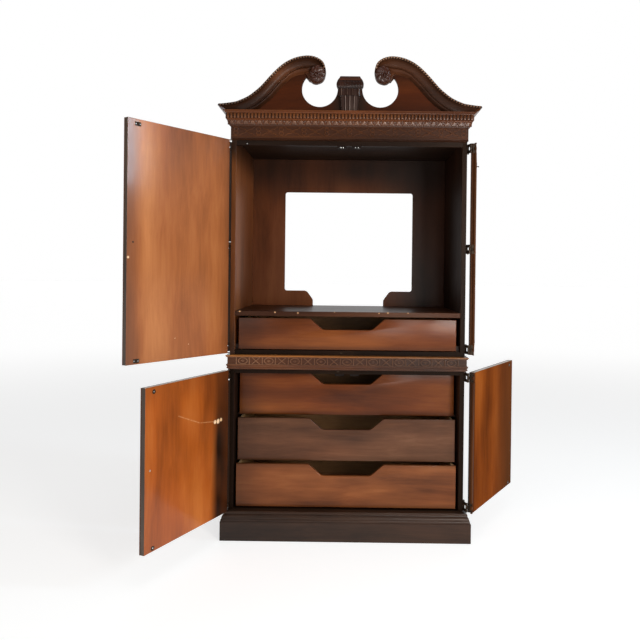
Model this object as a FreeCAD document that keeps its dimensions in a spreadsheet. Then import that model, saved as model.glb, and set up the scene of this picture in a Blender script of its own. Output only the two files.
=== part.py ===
import FreeCAD, Part
import math
import os
import Sketcher
from FreeCAD import Vector

# Tall cabinet in two stages with a broken swan-neck pediment.
# Frame: +X to the right, +Y to the back, +Z up. The origin is the centre of the
# plinth's footprint, on the floor. Lengths are in millimetres.

doc = FreeCAD.newDocument("armoire")
sheet = doc.addObject("Spreadsheet::Sheet", "dims")


class Q:
    """A length with its value and its formula in the sheet's aliases."""

    def __init__(self, v, s):
        self.v, self.s = float(v), s

    def __add__(self, o):
        o = q(o)
        return Q(self.v + o.v, "(%s + %s)" % (self.s, o.s))

    def __sub__(self, o):
        o = q(o)
        return Q(self.v - o.v, "(%s - %s)" % (self.s, o.s))

    def __mul__(self, o):
        o = q(o)
        return Q(self.v * o.v, "(%s * %s)" % (self.s, o.s))

    def __truediv__(self, o):
        o = q(o)
        return Q(self.v / o.v, "(%s / %s)" % (self.s, o.s))

    def __neg__(self):
        return Q(-self.v, "(0 - %s)" % self.s)

    __radd__ = __add__
    __rmul__ = __mul__

    def __rsub__(self, o):
        return q(o) - self


def q(a):
    return a if isinstance(a, Q) else Q(a, repr(float(a)))


D = {}
ROWS = [
    ("half_body", 542, "half width of both cases over their side boards"),
    ("front_y", -260, "plane of the cases' front edges"),
    ("back_y", 312, "plane of the cases' back edges"),
    ("board", 22, "thickness of the case boards"),
    ("thin_board", 9, "thickness of the back panels"),
    ("back_inset", 5, "back panel set in from the back edges"),
    ("plinth_out", 29, "plinth beyond the side boards"),
    ("plinth_front", 52, "plinth in front of the front edges"),
    ("plinth_tall", 84, "plain height of the plinth boards"),
    ("base_top", 130, "top of the plinth moulding"),
    ("low_bottom", 110, "underside of the lower case's bottom board"),
    ("low_top", 779, "top of the lower case"),
    ("waist_top", 843, "top of the waist moulding"),
    ("waist_front", 37, "waist moulding in front of the front edges"),
    ("waist_out", 10, "waist moulding beyond the side boards"),
    ("up_top", 1979, "top of the upper side boards, level with the crown's returns"),
    ("ceiling", 1834, "underside of the upper case's top board"),
    ("rail_low", 1808, "underside of the front rail"),
    ("shelf_low", 1022, "underside of the television shelf"),
    ("frieze_low", 1830, "underside of the frieze board"),
    ("frieze_high", 1958, "top of the frieze board"),
    ("frieze_front", 28, "frieze in front of the front edges"),
    ("crown_top", 1979, "top of the crown moulding at the corners"),
    ("door_gap", 1.5, "gap behind a closed door"),
    ("slab", 18.5, "thickness of a door slab"),
    ("face_frame", 6, "thickness of the moulded frame on a door"),
    ("door_wide", 540, "width of a door"),
    ("pin_out", 12, "hinge pin beyond the side board"),
    ("edge_gap", 13, "hinge pin to the door's hinge edge"),
    ("up_door_low", 854, "lower edge of the upper doors"),
    ("up_door_tall", 970, "height of the upper doors"),
    ("low_door_low", 132, "lower edge of the lower doors"),
    ("low_door_tall", 644, "height of the lower doors"),
    ("open_ul", 126.3, "opening of the upper left door"),
    ("open_ur", 259.1, "opening of the upper right door"),
    ("open_ll", 115.3, "opening of the lower left door"),
    ("open_lr", 238.3, "opening of the lower right door"),
    ("barrel_rad", 5, "radius of a hinge barrel"),
    ("pin_rad", 2.5, "radius of a hinge pin"),
    ("bore_rad", 2.55, "radius of the bore in a door's hinge knuckle"),
    ("barrel_tall", 42, "height of a hinge barrel"),
    ("cut_half", 345, "half width of the opening in the upper back"),
    ("cut_low", 1124, "sill of the opening"),
    ("cut_high", 1657, "head of the opening"),
    ("notch_top", 226, "half width of the cable notch at the sill"),
    ("notch_low", 191, "half width of the cable notch at the shelf"),
    ("dr_half", 508, "half width of a lower drawer front"),
    ("dr_tall", 197, "height of a lower drawer front"),
    ("dr_pitch", 205, "spacing of the lower drawers"),
    ("dr_low", 140, "lower edge of the bottom drawer front"),
    ("dr_closed", 88, "front of a closed lower drawer behind the front edges"),
    ("dr_thick", 19, "thickness of a drawer front"),
    ("dr_deep", 430, "length of a drawer's sides"),
    ("dr_side", 12, "thickness of a drawer's sides and back"),
    ("out_mid", 47, "how far the middle drawer stands out"),
    ("out_low", 84, "how far the bottom drawer stands out"),
    ("ud_half", 502, "half width of the upper drawer front"),
    ("ud_low", 868, "lower edge of the upper drawer front"),
    ("ud_tall", 144, "height of the upper drawer front"),
    ("ud_closed", 3, "front of the closed upper drawer behind the front edges"),
    ("ud_deep", 470, "length of the upper drawer's sides"),
    ("scoop_top", 173, "half width of a finger scoop at the top"),
    ("scoop_low", 113, "half width of a finger scoop at its floor"),
    ("scoop_deep", 52, "depth of a finger scoop"),
    ("hole_half", 138, "centre of a pediment circle from the middle"),
    ("hole_high", 2062, "height of a pediment circle's centre"),
    ("hole_rad", 82, "radius of a pediment circle"),
    ("pull_in", 490, "door pull from the door's hinge edge"),
]
for n, (name, value, note) in enumerate(ROWS, 1):
    sheet.set("A%d" % n, name)
    sheet.set("B%d" % n, str(value))
    sheet.set("C%d" % n, note)
    sheet.setAlias("B%d" % n, name)
    D[name] = Q(value, "dims.%s" % name)
doc.recompute()

FINAL = []


def final(obj, label):
    obj.Label = label
    FINAL.append(obj)
    return obj


def place(obj, x=0, y=0, z=0, angle=None):
    x, y, z = q(x), q(y), q(z)
    obj.Placement = FreeCAD.Placement(
        Vector(x.v, y.v, z.v),
        FreeCAD.Rotation(Vector(0, 0, 1), angle.v if angle is not None else 0),
    )
    for axis, e in zip("xyz", (x, y, z)):
        obj.setExpression("Placement.Base." + axis, e.s)
    if angle is not None:
        obj.setExpression("Placement.Rotation.Angle", angle.s)
    return obj


def box(name, x0, x1, y0, y1, z0, z1):
    x0, x1, y0, y1, z0, z1 = (q(a) for a in (x0, x1, y0, y1, z0, z1))
    b = doc.addObject("Part::Box", name)
    for prop, e in (("Length", x1 - x0), ("Width", y1 - y0), ("Height", z1 - z0)):
        setattr(b, prop, e.v)
        b.setExpression(prop, e.s)
    return place(b, x0, y0, z0)


def cyl(name, r, tall, x, y, z, rot=None):
    c = doc.addObject("Part::Cylinder", name)
    r, tall = q(r), q(tall)
    c.Radius, c.Height = r.v, tall.v
    c.setExpression("Radius", r.s)
    c.setExpression("Height", tall.s)
    place(c, x, y, z)
    if rot is not None:
        c.Placement = FreeCAD.Placement(c.Placement.Base, rot)
    return c


def origin_plane(body, role):
    for o in body.Origin.OriginFeatures:
        if o.Role == role:
            return o
    raise ValueError(role)


def sketch(body, role, loops, name):
    """A sketch of closed straight loops whose corners are held by formulas."""
    s = body.newObject("Sketcher::SketchObject", name)
    s.AttachmentSupport = [(origin_plane(body, role), "")]
    s.MapMode = "FlatFace"
    for pts in loops:
        pts = [(q(a), q(b)) for a, b in pts]
        first = s.GeometryCount
        n = len(pts)
        for i in range(n):
            a, b = pts[i], pts[(i + 1) % n]
            s.addGeometry(
                Part.LineSegment(Vector(a[0].v, a[1].v, 0), Vector(b[0].v, b[1].v, 0)),
                False,
            )
        for i in range(n):
            s.addConstraint(
                Sketcher.Constraint("Coincident", first + i, 2, first + (i + 1) % n, 1)
            )
        for i, (a, b) in enumerate(pts):
            k = s.addConstraint(
                Sketcher.Constraint("DistanceX", -1, 1, first + i, 1, a.v)
            )
            s.setExpression("Constraints[%d]" % k, a.s)
            k = s.addConstraint(
                Sketcher.Constraint("DistanceY", -1, 1, first + i, 1, b.v)
            )
            s.setExpression("Constraints[%d]" % k, b.s)
    return s


def prism(name, role, loops, length, reversed_=False, midplane=False):
    """A PartDesign body: one sketch, padded along the sketch's normal."""
    body = doc.addObject("PartDesign::Body", name)
    sk = sketch(body, role, loops, name + "_profile")
    pad = body.newObject("PartDesign::Pad", name + "_pad")
    pad.Profile = sk
    length = q(length)
    pad.Length = length.v
    pad.setExpression("Length", length.s)
    pad.Reversed = reversed_
    pad.Midplane = midplane
    sk.Visibility = False
    doc.recompute()
    return body


def upright_edges(shape, direction, spots, tol=0.6):
    """Names of the straight edges along direction through the given spots."""
    names = []
    for i, e in enumerate(shape.Edges, 1):
        if e.Curve.TypeId != "Part::GeomLine":
            continue
        t = e.tangentAt(e.FirstParameter)
        if abs(abs(t.dot(direction)) - 1) > 1e-6:
            continue
        c = e.CenterOfMass
        for sp in spots:
            d = c - sp
            d = d - direction * d.dot(direction)
            if d.Length < tol:
                names.append("Edge%d" % i)
                break
    return names


def round_edges(body, direction, spots, radius, name):
    doc.recompute()
    f = body.newObject("PartDesign::Fillet", name)
    tip = [o for o in body.Group if o.Name != f.Name and hasattr(o, "Shape")][-1]
    f.Base = (tip, upright_edges(tip.Shape, direction, spots))
    f.Radius = radius
    body.Tip = f
    doc.recompute()
    return f


def group(label, parts):
    c = doc.addObject("Part::Compound", label)
    c.Links = parts
    return final(c, label)


def fuse(label, parts):
    f = doc.addObject("Part::MultiFuse", label)
    f.Shapes = parts
    f.Refine = True
    return f


H, F, B, T = D["half_body"], D["front_y"], D["back_y"], D["board"]
inner = H - T
back_front = B - D["back_inset"] - D["thin_board"]
back_rear = B - D["back_inset"]

# ---------------------------------------------------------------- plinth
pf = F - D["plinth_front"]
po = H + D["plinth_out"]
final(box("plinth_front", -po, po, pf, pf + T, 0, D["plinth_tall"]), "plinth_front")
group("plinth_sides", [
    box("plinth_side_a", -po, -H, pf + T, B, 0, D["plinth_tall"]),
    box("plinth_side_b", H, po, pf + T, B, 0, D["plinth_tall"]),
])
# the back rail, and a middle rail that carries the bottom board behind the moulding
mid_rail = prism("plinth_rail_mid", "YZ_Plane", [[
    (pf + T, 0), (B - T, 0), (B - T, D["low_bottom"]), (F, D["low_bottom"]),
    (F, D["plinth_tall"]), (pf + T, D["plinth_tall"])]], 60, midplane=True)
group("plinth_rails", [
    box("plinth_rail_back", -inner, inner, B - T, B, 0, D["low_bottom"]),
    mid_rail,
])


def joined(pts):
    """The loop without corners that fall on the one before them."""
    out = []
    for a, b in pts:
        a, b = q(a), q(b)
        if not out or abs(a.v - out[-1][0].v) + abs(b.v - out[-1][1].v) > 1e-6:
            out.append((a, b))
    if abs(out[0][0].v - out[-1][0].v) + abs(out[0][1].v - out[-1][1].v) < 1e-6:
        out.pop()
    return out


def strip(name, prof, z0, y_face, x_face, y_in, x_in):
    """Three mitred lengths of one moulding. prof holds (overhang, height) pairs;
    the face datum is y_face / x_face and the back is flat at y_in / x_in."""
    reach = max(q(p[0]).v for p in prof) + 2
    top = q(z0) + max(q(p[1]).v for p in prof) + 5

    def common(label, a, b):
        c = doc.addObject("Part::Common", label)
        c.Base, c.Tool = a, b
        return c

    fp = [(q(y_face) - a, q(z0) + b) for a, b in prof]
    fp = joined([(q(y_in), q(z0) + prof[-1][1]), (q(y_in), q(z0) + prof[0][1])] + fp)
    length = (q(x_face) + reach) * 2 + 20
    pr = prism(name + "_fa", "YZ_Plane", [fp], length, midplane=True)
    ex, ey = q(x_face) + reach, q(y_face) - reach
    # the mitre runs at 45 degrees from the outer corner to the strip's inner corner
    ym = ey + (ex - x_in)
    foot = joined([(-ex, ey), (ex, ey), (x_in, ym), (x_in, y_in), (-q(x_in), y_in), (-q(x_in), ym)])
    fm = prism(name + "_fb", "XY_Plane", [foot], top)
    cf = common(name + "_front", pr, fm)
    sides = []
    for sgn, tag in ((-1, "l"), (1, "r")):
        sp = [((q(x_face) + a) * sgn, q(z0) + b) for a, b in prof]
        sp = joined([(q(x_in) * sgn, q(z0) + prof[-1][1]), (q(x_in) * sgn, q(z0) + prof[0][1])] + sp)
        ps = prism(name + "_s" + tag, "XZ_Plane", [sp], 1500, midplane=True)
        fs = prism(name + "_t" + tag, "XY_Plane", [[
            (ex * sgn, ey), (ex * sgn, B), (q(x_in) * sgn, B), (q(x_in) * sgn, ym)]], top)
        sides.append(common(name + "_side_" + tag, ps, fs))
    doc.recompute()
    return cf, sides


base_prof = [(0, 0), (0, 4), (-3, 6), (-4, 14), (-8, 22), (-14, 28), (-18, 34),
             (-18, 38), (-15, 41), (-16, 45), (-18, 46)]
f_, s_ = strip("plinth_moulding", base_prof, D["plinth_tall"], pf, po, F, H)
final(f_, "plinth_moulding_front")
group("plinth_moulding_sides", s_)

# ---------------------------------------------------------------- lower case
final(box("lower_side_left", -H, -inner, F, B, 0, D["low_top"]), "lower_side_left")
final(box("lower_side_right", inner, H, F, B, 0, D["low_top"]), "lower_side_right")
final(box("lower_bottom", -inner, inner, F, back_rear, D["low_bottom"], D["low_bottom"] + T), "lower_bottom")
final(box("lower_top", -inner, inner, F, back_rear, D["low_top"] - T, D["low_top"]), "lower_top")
final(box("lower_back", -inner, inner, back_front, back_rear, D["low_bottom"] + T, D["low_top"] - T), "lower_back")

# ---------------------------------------------------------------- waist
waist_prof = [(-9, 0), (-9, 2), (-3, 4), (-1, 9), (-4, 13), (-4, 18), (0, 20), (0, 22),
              (-2, 23), (-2, 56), (0, 57), (3, 59), (3, 62), (0, 64)]
f_, s_ = strip("waist_moulding", waist_prof, D["low_top"], F - D["waist_front"],
               H + D["waist_out"], F, inner)
final(f_, "waist_moulding_front")
wr = box("waist_rail_back", -inner, inner, B - T, B, D["low_top"], D["waist_top"])
group("waist_moulding_sides", s_)
final(wr, "waist_back_rail")

# ---------------------------------------------------------------- upper case
final(box("upper_side_left", -H, -inner, F, B, D["waist_top"], D["up_top"]), "upper_side_left")
final(box("upper_side_right", inner, H, F, B, D["waist_top"], D["up_top"]), "upper_side_right")
final(box("upper_bottom", -inner, inner, F, back_rear, D["waist_top"], D["waist_top"] + T), "upper_bottom")
final(box("upper_top", -inner, inner, F, back_rear, D["ceiling"], D["ceiling"] + T), "upper_top")
final(box("upper_top_rail", -inner, inner, F, F + T, D["rail_low"], D["ceiling"]), "upper_top_rail")
final(box("tv_shelf", -inner, inner, F + 2, back_front, D["shelf_low"], D["shelf_low"] + T), "tv_shelf")

# back panel with the television's opening and the cable notch down to the shelf
low = D["waist_top"] + T
outer = [(-inner, low), (inner, low), (inner, D["ceiling"]), (-inner, D["ceiling"])]
sh = D["shelf_low"] + T
cut = [(-D["cut_half"], D["cut_high"]), (D["cut_half"], D["cut_high"]),
       (D["cut_half"], D["cut_low"]), (D["notch_top"], D["cut_low"]),
       (D["notch_low"], D["cut_low"] - 48), (D["notch_low"], sh), (-D["notch_low"], sh),
       (-D["notch_low"], D["cut_low"] - 48), (-D["notch_top"], D["cut_low"]),
       (-D["cut_half"], D["cut_low"])]
ub = prism("upper_back", "XZ_Plane", [outer, cut], D["thin_board"], reversed_=True)
ydir = Vector(0, 1, 0)


def spot(x, z):
    return Vector(q(x).v, 0, q(z).v)


round_edges(ub, ydir, [spot(s * D["cut_half"].v, z) for s in (-1, 1) for z in (D["cut_high"], D["cut_low"])], 12, "upper_back_corners")
round_edges(ub, ydir, [spot(s * D["notch_top"].v, D["cut_low"]) for s in (-1, 1)], 26, "upper_back_notch")
round_edges(ub, ydir, [spot(s * D["notch_low"].v, D["cut_low"].v - 48) for s in (-1, 1)], 26, "upper_back_notch_foot")
place(ub, 0, back_front, 0)
final(ub, "upper_back")

# ---------------------------------------------------------------- frieze and cornice
ff = F - D["frieze_front"]
frieze = prism("frieze", "YZ_Plane", [[
    (F, D["frieze_low"]), (F, D["frieze_high"]), (ff, D["frieze_high"]),
    (ff, D["frieze_low"] + 5), (ff - 3, D["frieze_low"] + 4), (ff - 3, D["frieze_low"])]],
    H * 2, midplane=True)
final(frieze, "frieze_board")
corn_prof = [(0, 0), (4, 4), (7, 8), (7, 11), (12, 13), (14, 19), (12, 25), (18, 28),
             (18, 33), (22, 35), (24, 62), (30, 64), (31, 70)]
f_, s_ = strip("cornice", corn_prof, 1888, ff, H, ff, H)
final(f_, "cornice_front")
group("cornice_sides", s_)
crown_prof = [(31, 0), (36, 4), (44, 8), (50, 14), (54, 16), (54, 21)]
crown_side = []
for sgn, tag in ((-1, "l"), (1, "r")):
    sp = [((H + a) * sgn, D["frieze_high"] + b) for a, b in [(0, 0)] + crown_prof + [(0, 21)]]
    ps = prism("crown_return_p" + tag, "XZ_Plane", [sp], 1500, midplane=True)
    e = 60
    fs = prism("crown_return_f" + tag, "XY_Plane", [[
        ((H + e) * sgn, ff - e), ((H + e) * sgn, B), (H * sgn, B), (H * sgn, ff)]], 2200)
    c = doc.addObject("Part::Common", "crown_return_" + tag)
    c.Base, c.Tool = ps, fs
    crown_side.append(c)
group("crown_returns", crown_side)

# ---------------------------------------------------------------- pediment
# outer edge of the swan-neck crown from the corner to the volute's foot
NECK = [(596, 1979), (561, 1982), (516, 1989), (494, 1997), (471, 2007), (449, 2020),
        (427, 2037), (404, 2057), (382, 2081), (359, 2107), (336, 2131), (314, 2151),
        (291, 2168), (269, 2180), (247, 2189), (224, 2195), (202, 2198), (179, 2198),
        (157, 2194), (136, 2185), (121, 2172), (113, 2153), (110, 2133), (114, 2113),
        (124, 2096), (137, 2085), (152, 2080), (167, 2082), (179, 2091)]


def spline(points):
    c = Part.BSplineCurve()
    c.interpolate([Vector(x, 0, z) for x, z in points])
    return c.toShape()


def lines(points):
    return [Part.LineSegment(Vector(a[0], 0, a[1]), Vector(b[0], 0, b[1])).toShape()
            for a, b in zip(points, points[1:])]


def slab(edges, y0, y1):
    w = Part.Wire(Part.__sortEdges__(edges))
    s = Part.Face(w).extrude(Vector(0, y1 - y0, 0))
    s.translate(Vector(0, y0, 0))
    return s


def inset(width, first, last):
    """The neck's outer edge moved inwards by width, from point first to last."""
    out = []
    for i in range(first, last + 1):
        a, b = NECK[max(i - 1, 0)], NECK[min(i + 1, len(NECK) - 1)]
        tx, tz = b[0] - a[0], b[1] - a[1]
        n = math.hypot(tx, tz)
        # the neck runs towards the middle, so its inner side is on the left hand
        out.append((NECK[i][0] - width * tz / n, NECK[i][1] + width * tx / n))
    return out


zc = D["frieze_high"].v
y_board = ff.v
base_edge = [(428, zc), (386, 2001), (341, 2044), (296, 2088), (260, 2115), (228, 2128), (196, 2126)]
crown = slab([spline(NECK)] + lines([NECK[-1], base_edge[-1]]) + [spline(base_edge)]
             + lines([base_edge[0], (H.v + 31, zc), NECK[0]]), y_board - 54, y_board)


def step_back(width, y1, last, end):
    """Everything in front of y1 on the inner side of the neck's line at width."""
    line = [p for p in inset(width, 2, last) if p[1] > zc + 3]
    high = max(zc + 3, NECK[0][1] - width * 0.45)
    line = [(640, high), (560, high)] + line + [end]
    return slab([spline(line)] + lines([line[-1], (end[0], 1900), (640, 1900), line[0]]),
                y_board - 60, y1)


# two steps: the crown's face falls back towards the board
crown = crown.cut(step_back(20, y_board - 44, 20, (90, 2150)))
crown = crown.cut(step_back(40, y_board - 30, 18, (90, 2165)))
ROSE = (148.5, 2120, 37, 40)          # centre and half axes of the rosette's oval


def oval(grow, y0, y1):
    e = Part.Ellipse(Vector(0, 0, 0), ROSE[3] + grow, ROSE[2] + grow).toShape()
    e.rotate(Vector(0, 0, 0), Vector(0, 0, 1), 90)
    e.rotate(Vector(0, 0, 0), Vector(1, 0, 0), 90)
    s = Part.Face(Part.Wire([e])).extrude(Vector(0, y1 - y0, 0))
    s.translate(Vector(ROSE[0], y0, ROSE[1]))
    return s


crown = crown.cut(oval(0.5, y_board - 60, y_board - 30))
for sgn, tag in ((-1, "left"), (1, "right")):
    s = crown.copy()
    if sgn < 0:
        s = s.mirror(Vector(0, 0, 0), Vector(1, 0, 0))
    # the corner is mitred against the side return
    cutter = Part.Face(Part.makePolygon([
        Vector(sgn * H.v, y_board, 1900), Vector(sgn * (H.v + 90), y_board - 90, 1900),
        Vector(sgn * (H.v + 90), y_board + 40, 1900), Vector(sgn * H.v, y_board + 40, 1900),
        Vector(sgn * H.v, y_board, 1900)])).extrude(Vector(0, 0, 200))
    s = s.cut(cutter)
    o = doc.addObject("Part::Feature", "crown_" + tag)
    o.Shape = s
    final(o, "crown_" + tag)

# board behind the swan necks, with its two circles
hx, hz, hr = D["hole_half"].v, D["hole_high"].v, D["hole_rad"].v
a_neck = math.radians(12)
p_neck = (hx - hr * math.cos(a_neck), hz + hr * math.sin(a_neck))
p_vol = (hx + hr * math.cos(math.radians(40)), hz + hr * math.sin(math.radians(40)))


def tymp_side(sgn):
    back = [(sgn * x, z) for x, z in inset(10, 2, 18)]
    arc = Part.Arc(Vector(sgn * p_vol[0], 0, p_vol[1]), Vector(sgn * hx, 0, hz - hr),
                   Vector(sgn * p_neck[0], 0, p_neck[1])).toShape()
    e = [Part.LineSegment(Vector(sgn * (H.v - 2), 0, zc), Vector(back[0][0], 0, back[0][1])).toShape(),
         spline(back),
         Part.LineSegment(Vector(back[-1][0], 0, back[-1][1]), Vector(sgn * 150, 0, 2091)).toShape(),
         Part.LineSegment(Vector(sgn * 150, 0, 2091), Vector(sgn * 186, 0, 2097)).toShape(),
         Part.LineSegment(Vector(sgn * 186, 0, 2097), Vector(sgn * p_vol[0], 0, p_vol[1])).toShape(),
         arc]
    return e


edges = tymp_side(-1) + tymp_side(1)
edges.append(Part.LineSegment(Vector(-p_neck[0], 0, p_neck[1]), Vector(p_neck[0], 0, p_neck[1])).toShape())
edges.append(Part.LineSegment(Vector(-(H.v - 2), 0, zc), Vector(H.v - 2, 0, zc)).toShape())
ty = slab(edges, y_board, y_board + 22)
o = doc.addObject("Part::Feature", "tympanum")
o.Shape = ty
final(o, "tympanum")

# carved rosettes that end the two necks, seated on the crown's face
rose = oval(0, y_board - 52, y_board - 30)
dome = Part.makeSphere(95, Vector(ROSE[0], y_board - 52 + 95, ROSE[1]))
rose = rose.common(dome)
ros = []
for sgn, tag in ((-1, "l"), (1, "r")):
    c = rose.copy()
    if sgn < 0:
        c = c.mirror(Vector(0, 0, 0), Vector(1, 0, 0))
    o = doc.addObject("Part::Feature", "rosette_" + tag)
    o.Shape = c
    ros.append(o)
group("rosettes", ros)

# middle bracket: reeded shaft, flared cap with rolled ears
shaft = Part.Face(Part.makePolygon([Vector(-36, 0, zc), Vector(36, 0, zc), Vector(42, 0, 2027),
                                    Vector(-42, 0, 2027), Vector(-36, 0, zc)])).extrude(Vector(0, -24, 0))
shaft.translate(Vector(0, y_board, 0))
tier = Part.makeBox(104, 31, 33, Vector(-52, y_board - 31, 2026))
cap_pts = [(-52, 2058), (52, 2058), (57, 2062), (61, 2069), (62, 2078), (60, 2088), (55, 2098),
           (48, 2108), (46, 2113), (-46, 2113), (-48, 2108), (-55, 2098), (-60, 2088), (-62, 2078),
           (-61, 2069), (-57, 2062), (-52, 2058)]
cap = Part.Face(Part.makePolygon([Vector(x, 0, z) for x, z in cap_pts])).extrude(Vector(0, -34, 0))
cap.translate(Vector(0, y_board, 0))
o = doc.addObject("Part::Feature", "keystone_bracket")
o.Shape = shaft.fuse(tier).fuse(cap).removeSplitter()
final(o, "keystone_bracket")

# ---------------------------------------------------------------- drawer runners
runners = []
for k in range(3):
    z = D["dr_low"] + D["dr_pitch"] * k
    for sgn, tag in ((-1, "l"), (1, "r")):
        xa, xb = (-inner, -inner + 30) if sgn < 0 else (inner - 30, inner)
        runners.append(box("runner_%d%s" % (k, tag), xa, xb, F + D["dr_closed"] + 25,
                           back_front, z - 7.3, z + 2.7))
for sgn, tag in ((-1, "l"), (1, "r")):
    xa, xb = (-inner, -inner + 17.5) if sgn < 0 else (inner - 17.5, inner)
    runners.append(box("guide_" + tag, xa, xb, F + 26, back_front,
                       D["waist_top"] + T, D["waist_top"] + T + 24))
group("drawer_runners", runners)

# ---------------------------------------------------------------- catches
catches = []
for sgn, tag in ((-1, "l"), (1, "r")):
    cx = 34.5 * sgn
    catches.append(box("catch_up_" + tag, cx - 21, cx + 21, F + 1, F + 17,
                       D["rail_low"] - 11, D["rail_low"]))
    catches.append(box("catch_low_" + tag, cx - 21, cx + 21, F + 1, F + 17,
                       D["low_top"] - T - 9, D["low_top"] - T))
group("door_catches", catches)

# ---------------------------------------------------------------- hinges
pin_x = H + D["pin_out"]
pin_y = F - D["door_gap"] - D["slab"] - D["face_frame"]
third = D["barrel_tall"] / 3
HINGES = [(D["up_door_low"] + 4), (D["up_door_low"] + D["up_door_tall"] / 2 - 21),
          (D["up_door_low"] + D["up_door_tall"] - 46)]
HINGES_LOW = [(D["low_door_low"] + 4), (D["low_door_low"] + D["low_door_tall"] - 46)]


def frame_leaf(sgn, z, tag):
    """Leaf on the side board, arm, two knuckles and the pin."""
    parts = [box("leaf_" + tag, (H if sgn > 0 else -H - 2.5), (H + 2.5 if sgn > 0 else -H),
                 F + 1, F + 36, z, z + D["barrel_tall"])]
    for i, z0 in enumerate((z, z + third * 2 + 0.3)):
        tall = third - 0.3
        pts = [(pin_x - 12, F + 6), (pin_x - 9.5, F + 6), (pin_x - 9.5, F - 1),
               (pin_x - 0.6, pin_y + 3.2), (pin_x - 3.4, pin_y + 1.4), (pin_x - 12, F - 2)]
        a = prism("arm_%s_%d" % (tag, i), "XY_Plane", [[(x * sgn, y) for x, y in pts]], tall)
        place(a, 0, 0, z0)
        parts.append(a)
        parts.append(cyl("knuckle_%s_%d" % (tag, i), D["barrel_rad"], tall, pin_x * sgn, pin_y, z0))
    parts.append(cyl("pin_" + tag, D["pin_rad"], D["barrel_tall"], pin_x * sgn, pin_y, z))
    return fuse("frame_leaf_" + tag, parts)


leaves = []
for sgn, side in ((-1, "l"), (1, "r")):
    for i, z in enumerate(HINGES):
        leaves.append(frame_leaf(sgn, z, "u%s%d" % (side, i)))
    for i, z in enumerate(HINGES_LOW):
        leaves.append(frame_leaf(sgn, z, "w%s%d" % (side, i)))
group("hinge_frame_leaves", leaves)

# ---------------------------------------------------------------- doors
# Each door is drawn closed about its hinge pin, and turned by its placement.
W = D["door_wide"]
E = D["edge_gap"]
y_out = q(0)
y_slab = D["face_frame"]
y_in = D["face_frame"] + D["slab"]


def sx(sgn, a):
    """Distance a from the pin along the closed door; sgn +1 runs to +X."""
    return q(a) * sgn


def door(name, sgn, z0, tall, angle, hinges):
    turn = angle * (-1 if sgn > 0 else 1)
    px = pin_x * (-sgn)
    rect = lambda a0, a1, b0, b1: [(sx(sgn, a0), b0), (sx(sgn, a1), b0), (sx(sgn, a1), b1), (sx(sgn, a0), b1)]
    # slab
    s = prism(name + "_slab", "XY_Plane", [rect(E, E + W, y_slab, y_in)], tall)
    place(s, px, pin_y, z0, turn)
    final(s, name + "_slab")
    # moulded frame on the outer face, with a raised field inside it
    m = q(74)
    loops = [[(sx(sgn, E), 0), (sx(sgn, E + W), 0), (sx(sgn, E + W), tall), (sx(sgn, E), tall)],
             [(sx(sgn, E + m), m), (sx(sgn, E + W - m), m), (sx(sgn, E + W - m), tall - m), (sx(sgn, E + m), tall - m)]]
    fr = prism(name + "_fr", "XZ_Plane", loops, D["face_frame"], reversed_=True)
    n = q(104)
    fi = prism(name + "_fi", "XZ_Plane", [[(sx(sgn, E + n), n), (sx(sgn, E + W - n), n),
               (sx(sgn, E + W - n), tall - n), (sx(sgn, E + n), tall - n)]], D["face_frame"] - 1, reversed_=True)
    place(fi, 0, 1, 0)
    g = doc.addObject("Part::Compound", name + "_moulding")
    g.Links = [fr, fi]
    place(g, px, pin_y, z0, turn)
    final(g, name + "_moulding")
    # pull: back plate, stem and knob on the outer face
    kx, kz = sx(sgn, E + D["pull_in"]), tall / 2
    out = FreeCAD.Rotation(Vector(1, 0, 0), 90)
    plate = cyl(name + "_plate", 17, 2.5, kx, 0, kz, out)
    stem = cyl(name + "_stem", 5, 16, kx, 0, kz, out)
    ball = cyl(name + "_ball", 13, 10, kx, -13, kz, out)
    pull = fuse(name + "_pull", [plate, stem, ball])
    place(pull, px, pin_y, z0, turn)
    final(pull, name + "_pull")
    # hinge leaves with their knuckles, and the catch plates of the inner face
    fit = []
    for i, hz in enumerate(hinges):
        t = "%s_h%d" % (name, i)
        z = hz - z0
        leaf = box(t + "_leaf", 0, 1.5, 8, 22, z, z + D["barrel_tall"])
        place(leaf, (E - 1.5) if sgn > 0 else -E, 8, z)
        arm = prism(t + "_arm", "XY_Plane", [[
            (sx(sgn, E), 14), (sx(sgn, E - 1.5), 14), (sx(sgn, E - 1.5), 9),
            (sx(sgn, 2.6), 3.4), (sx(sgn, 4.2), 0.6), (sx(sgn, E), 6.4)]], third - 0.3)
        place(arm, 0, 0, z + third + 0.15)
        ring = cyl(t + "_ring", D["barrel_rad"], third - 0.3, 0, 0, z + third + 0.15)
        solid = fuse(t + "_solid", [leaf, arm, ring])
        bore = cyl(t + "_bore", D["bore_rad"], D["barrel_tall"] + 2, 0, 0, z - 1)
        cut_ = doc.addObject("Part::Cut", t)
        cut_.Base, cut_.Tool = solid, bore
        fit.append(cut_)
    for i, (sxx, szz) in enumerate(((492, tall - 20), (492, q(14)))):
        fit.append(cyl("%s_strike%d" % (name, i), 9, 0.8, sx(sgn, E + sxx), y_in + 0.8, szz, out))
    g = doc.addObject("Part::Compound", name + "_fittings")
    g.Links = fit
    place(g, px, pin_y, z0, turn)
    final(g, name + "_fittings")


door("upper_left_door", 1, D["up_door_low"], D["up_door_tall"], D["open_ul"], HINGES)
door("upper_right_door", -1, D["up_door_low"], D["up_door_tall"], D["open_ur"], HINGES)
door("lower_left_door", 1, D["low_door_low"], D["low_door_tall"], D["open_ll"], HINGES_LOW)
door("lower_right_door", -1, D["low_door_low"], D["low_door_tall"], D["open_lr"], HINGES_LOW)


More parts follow.
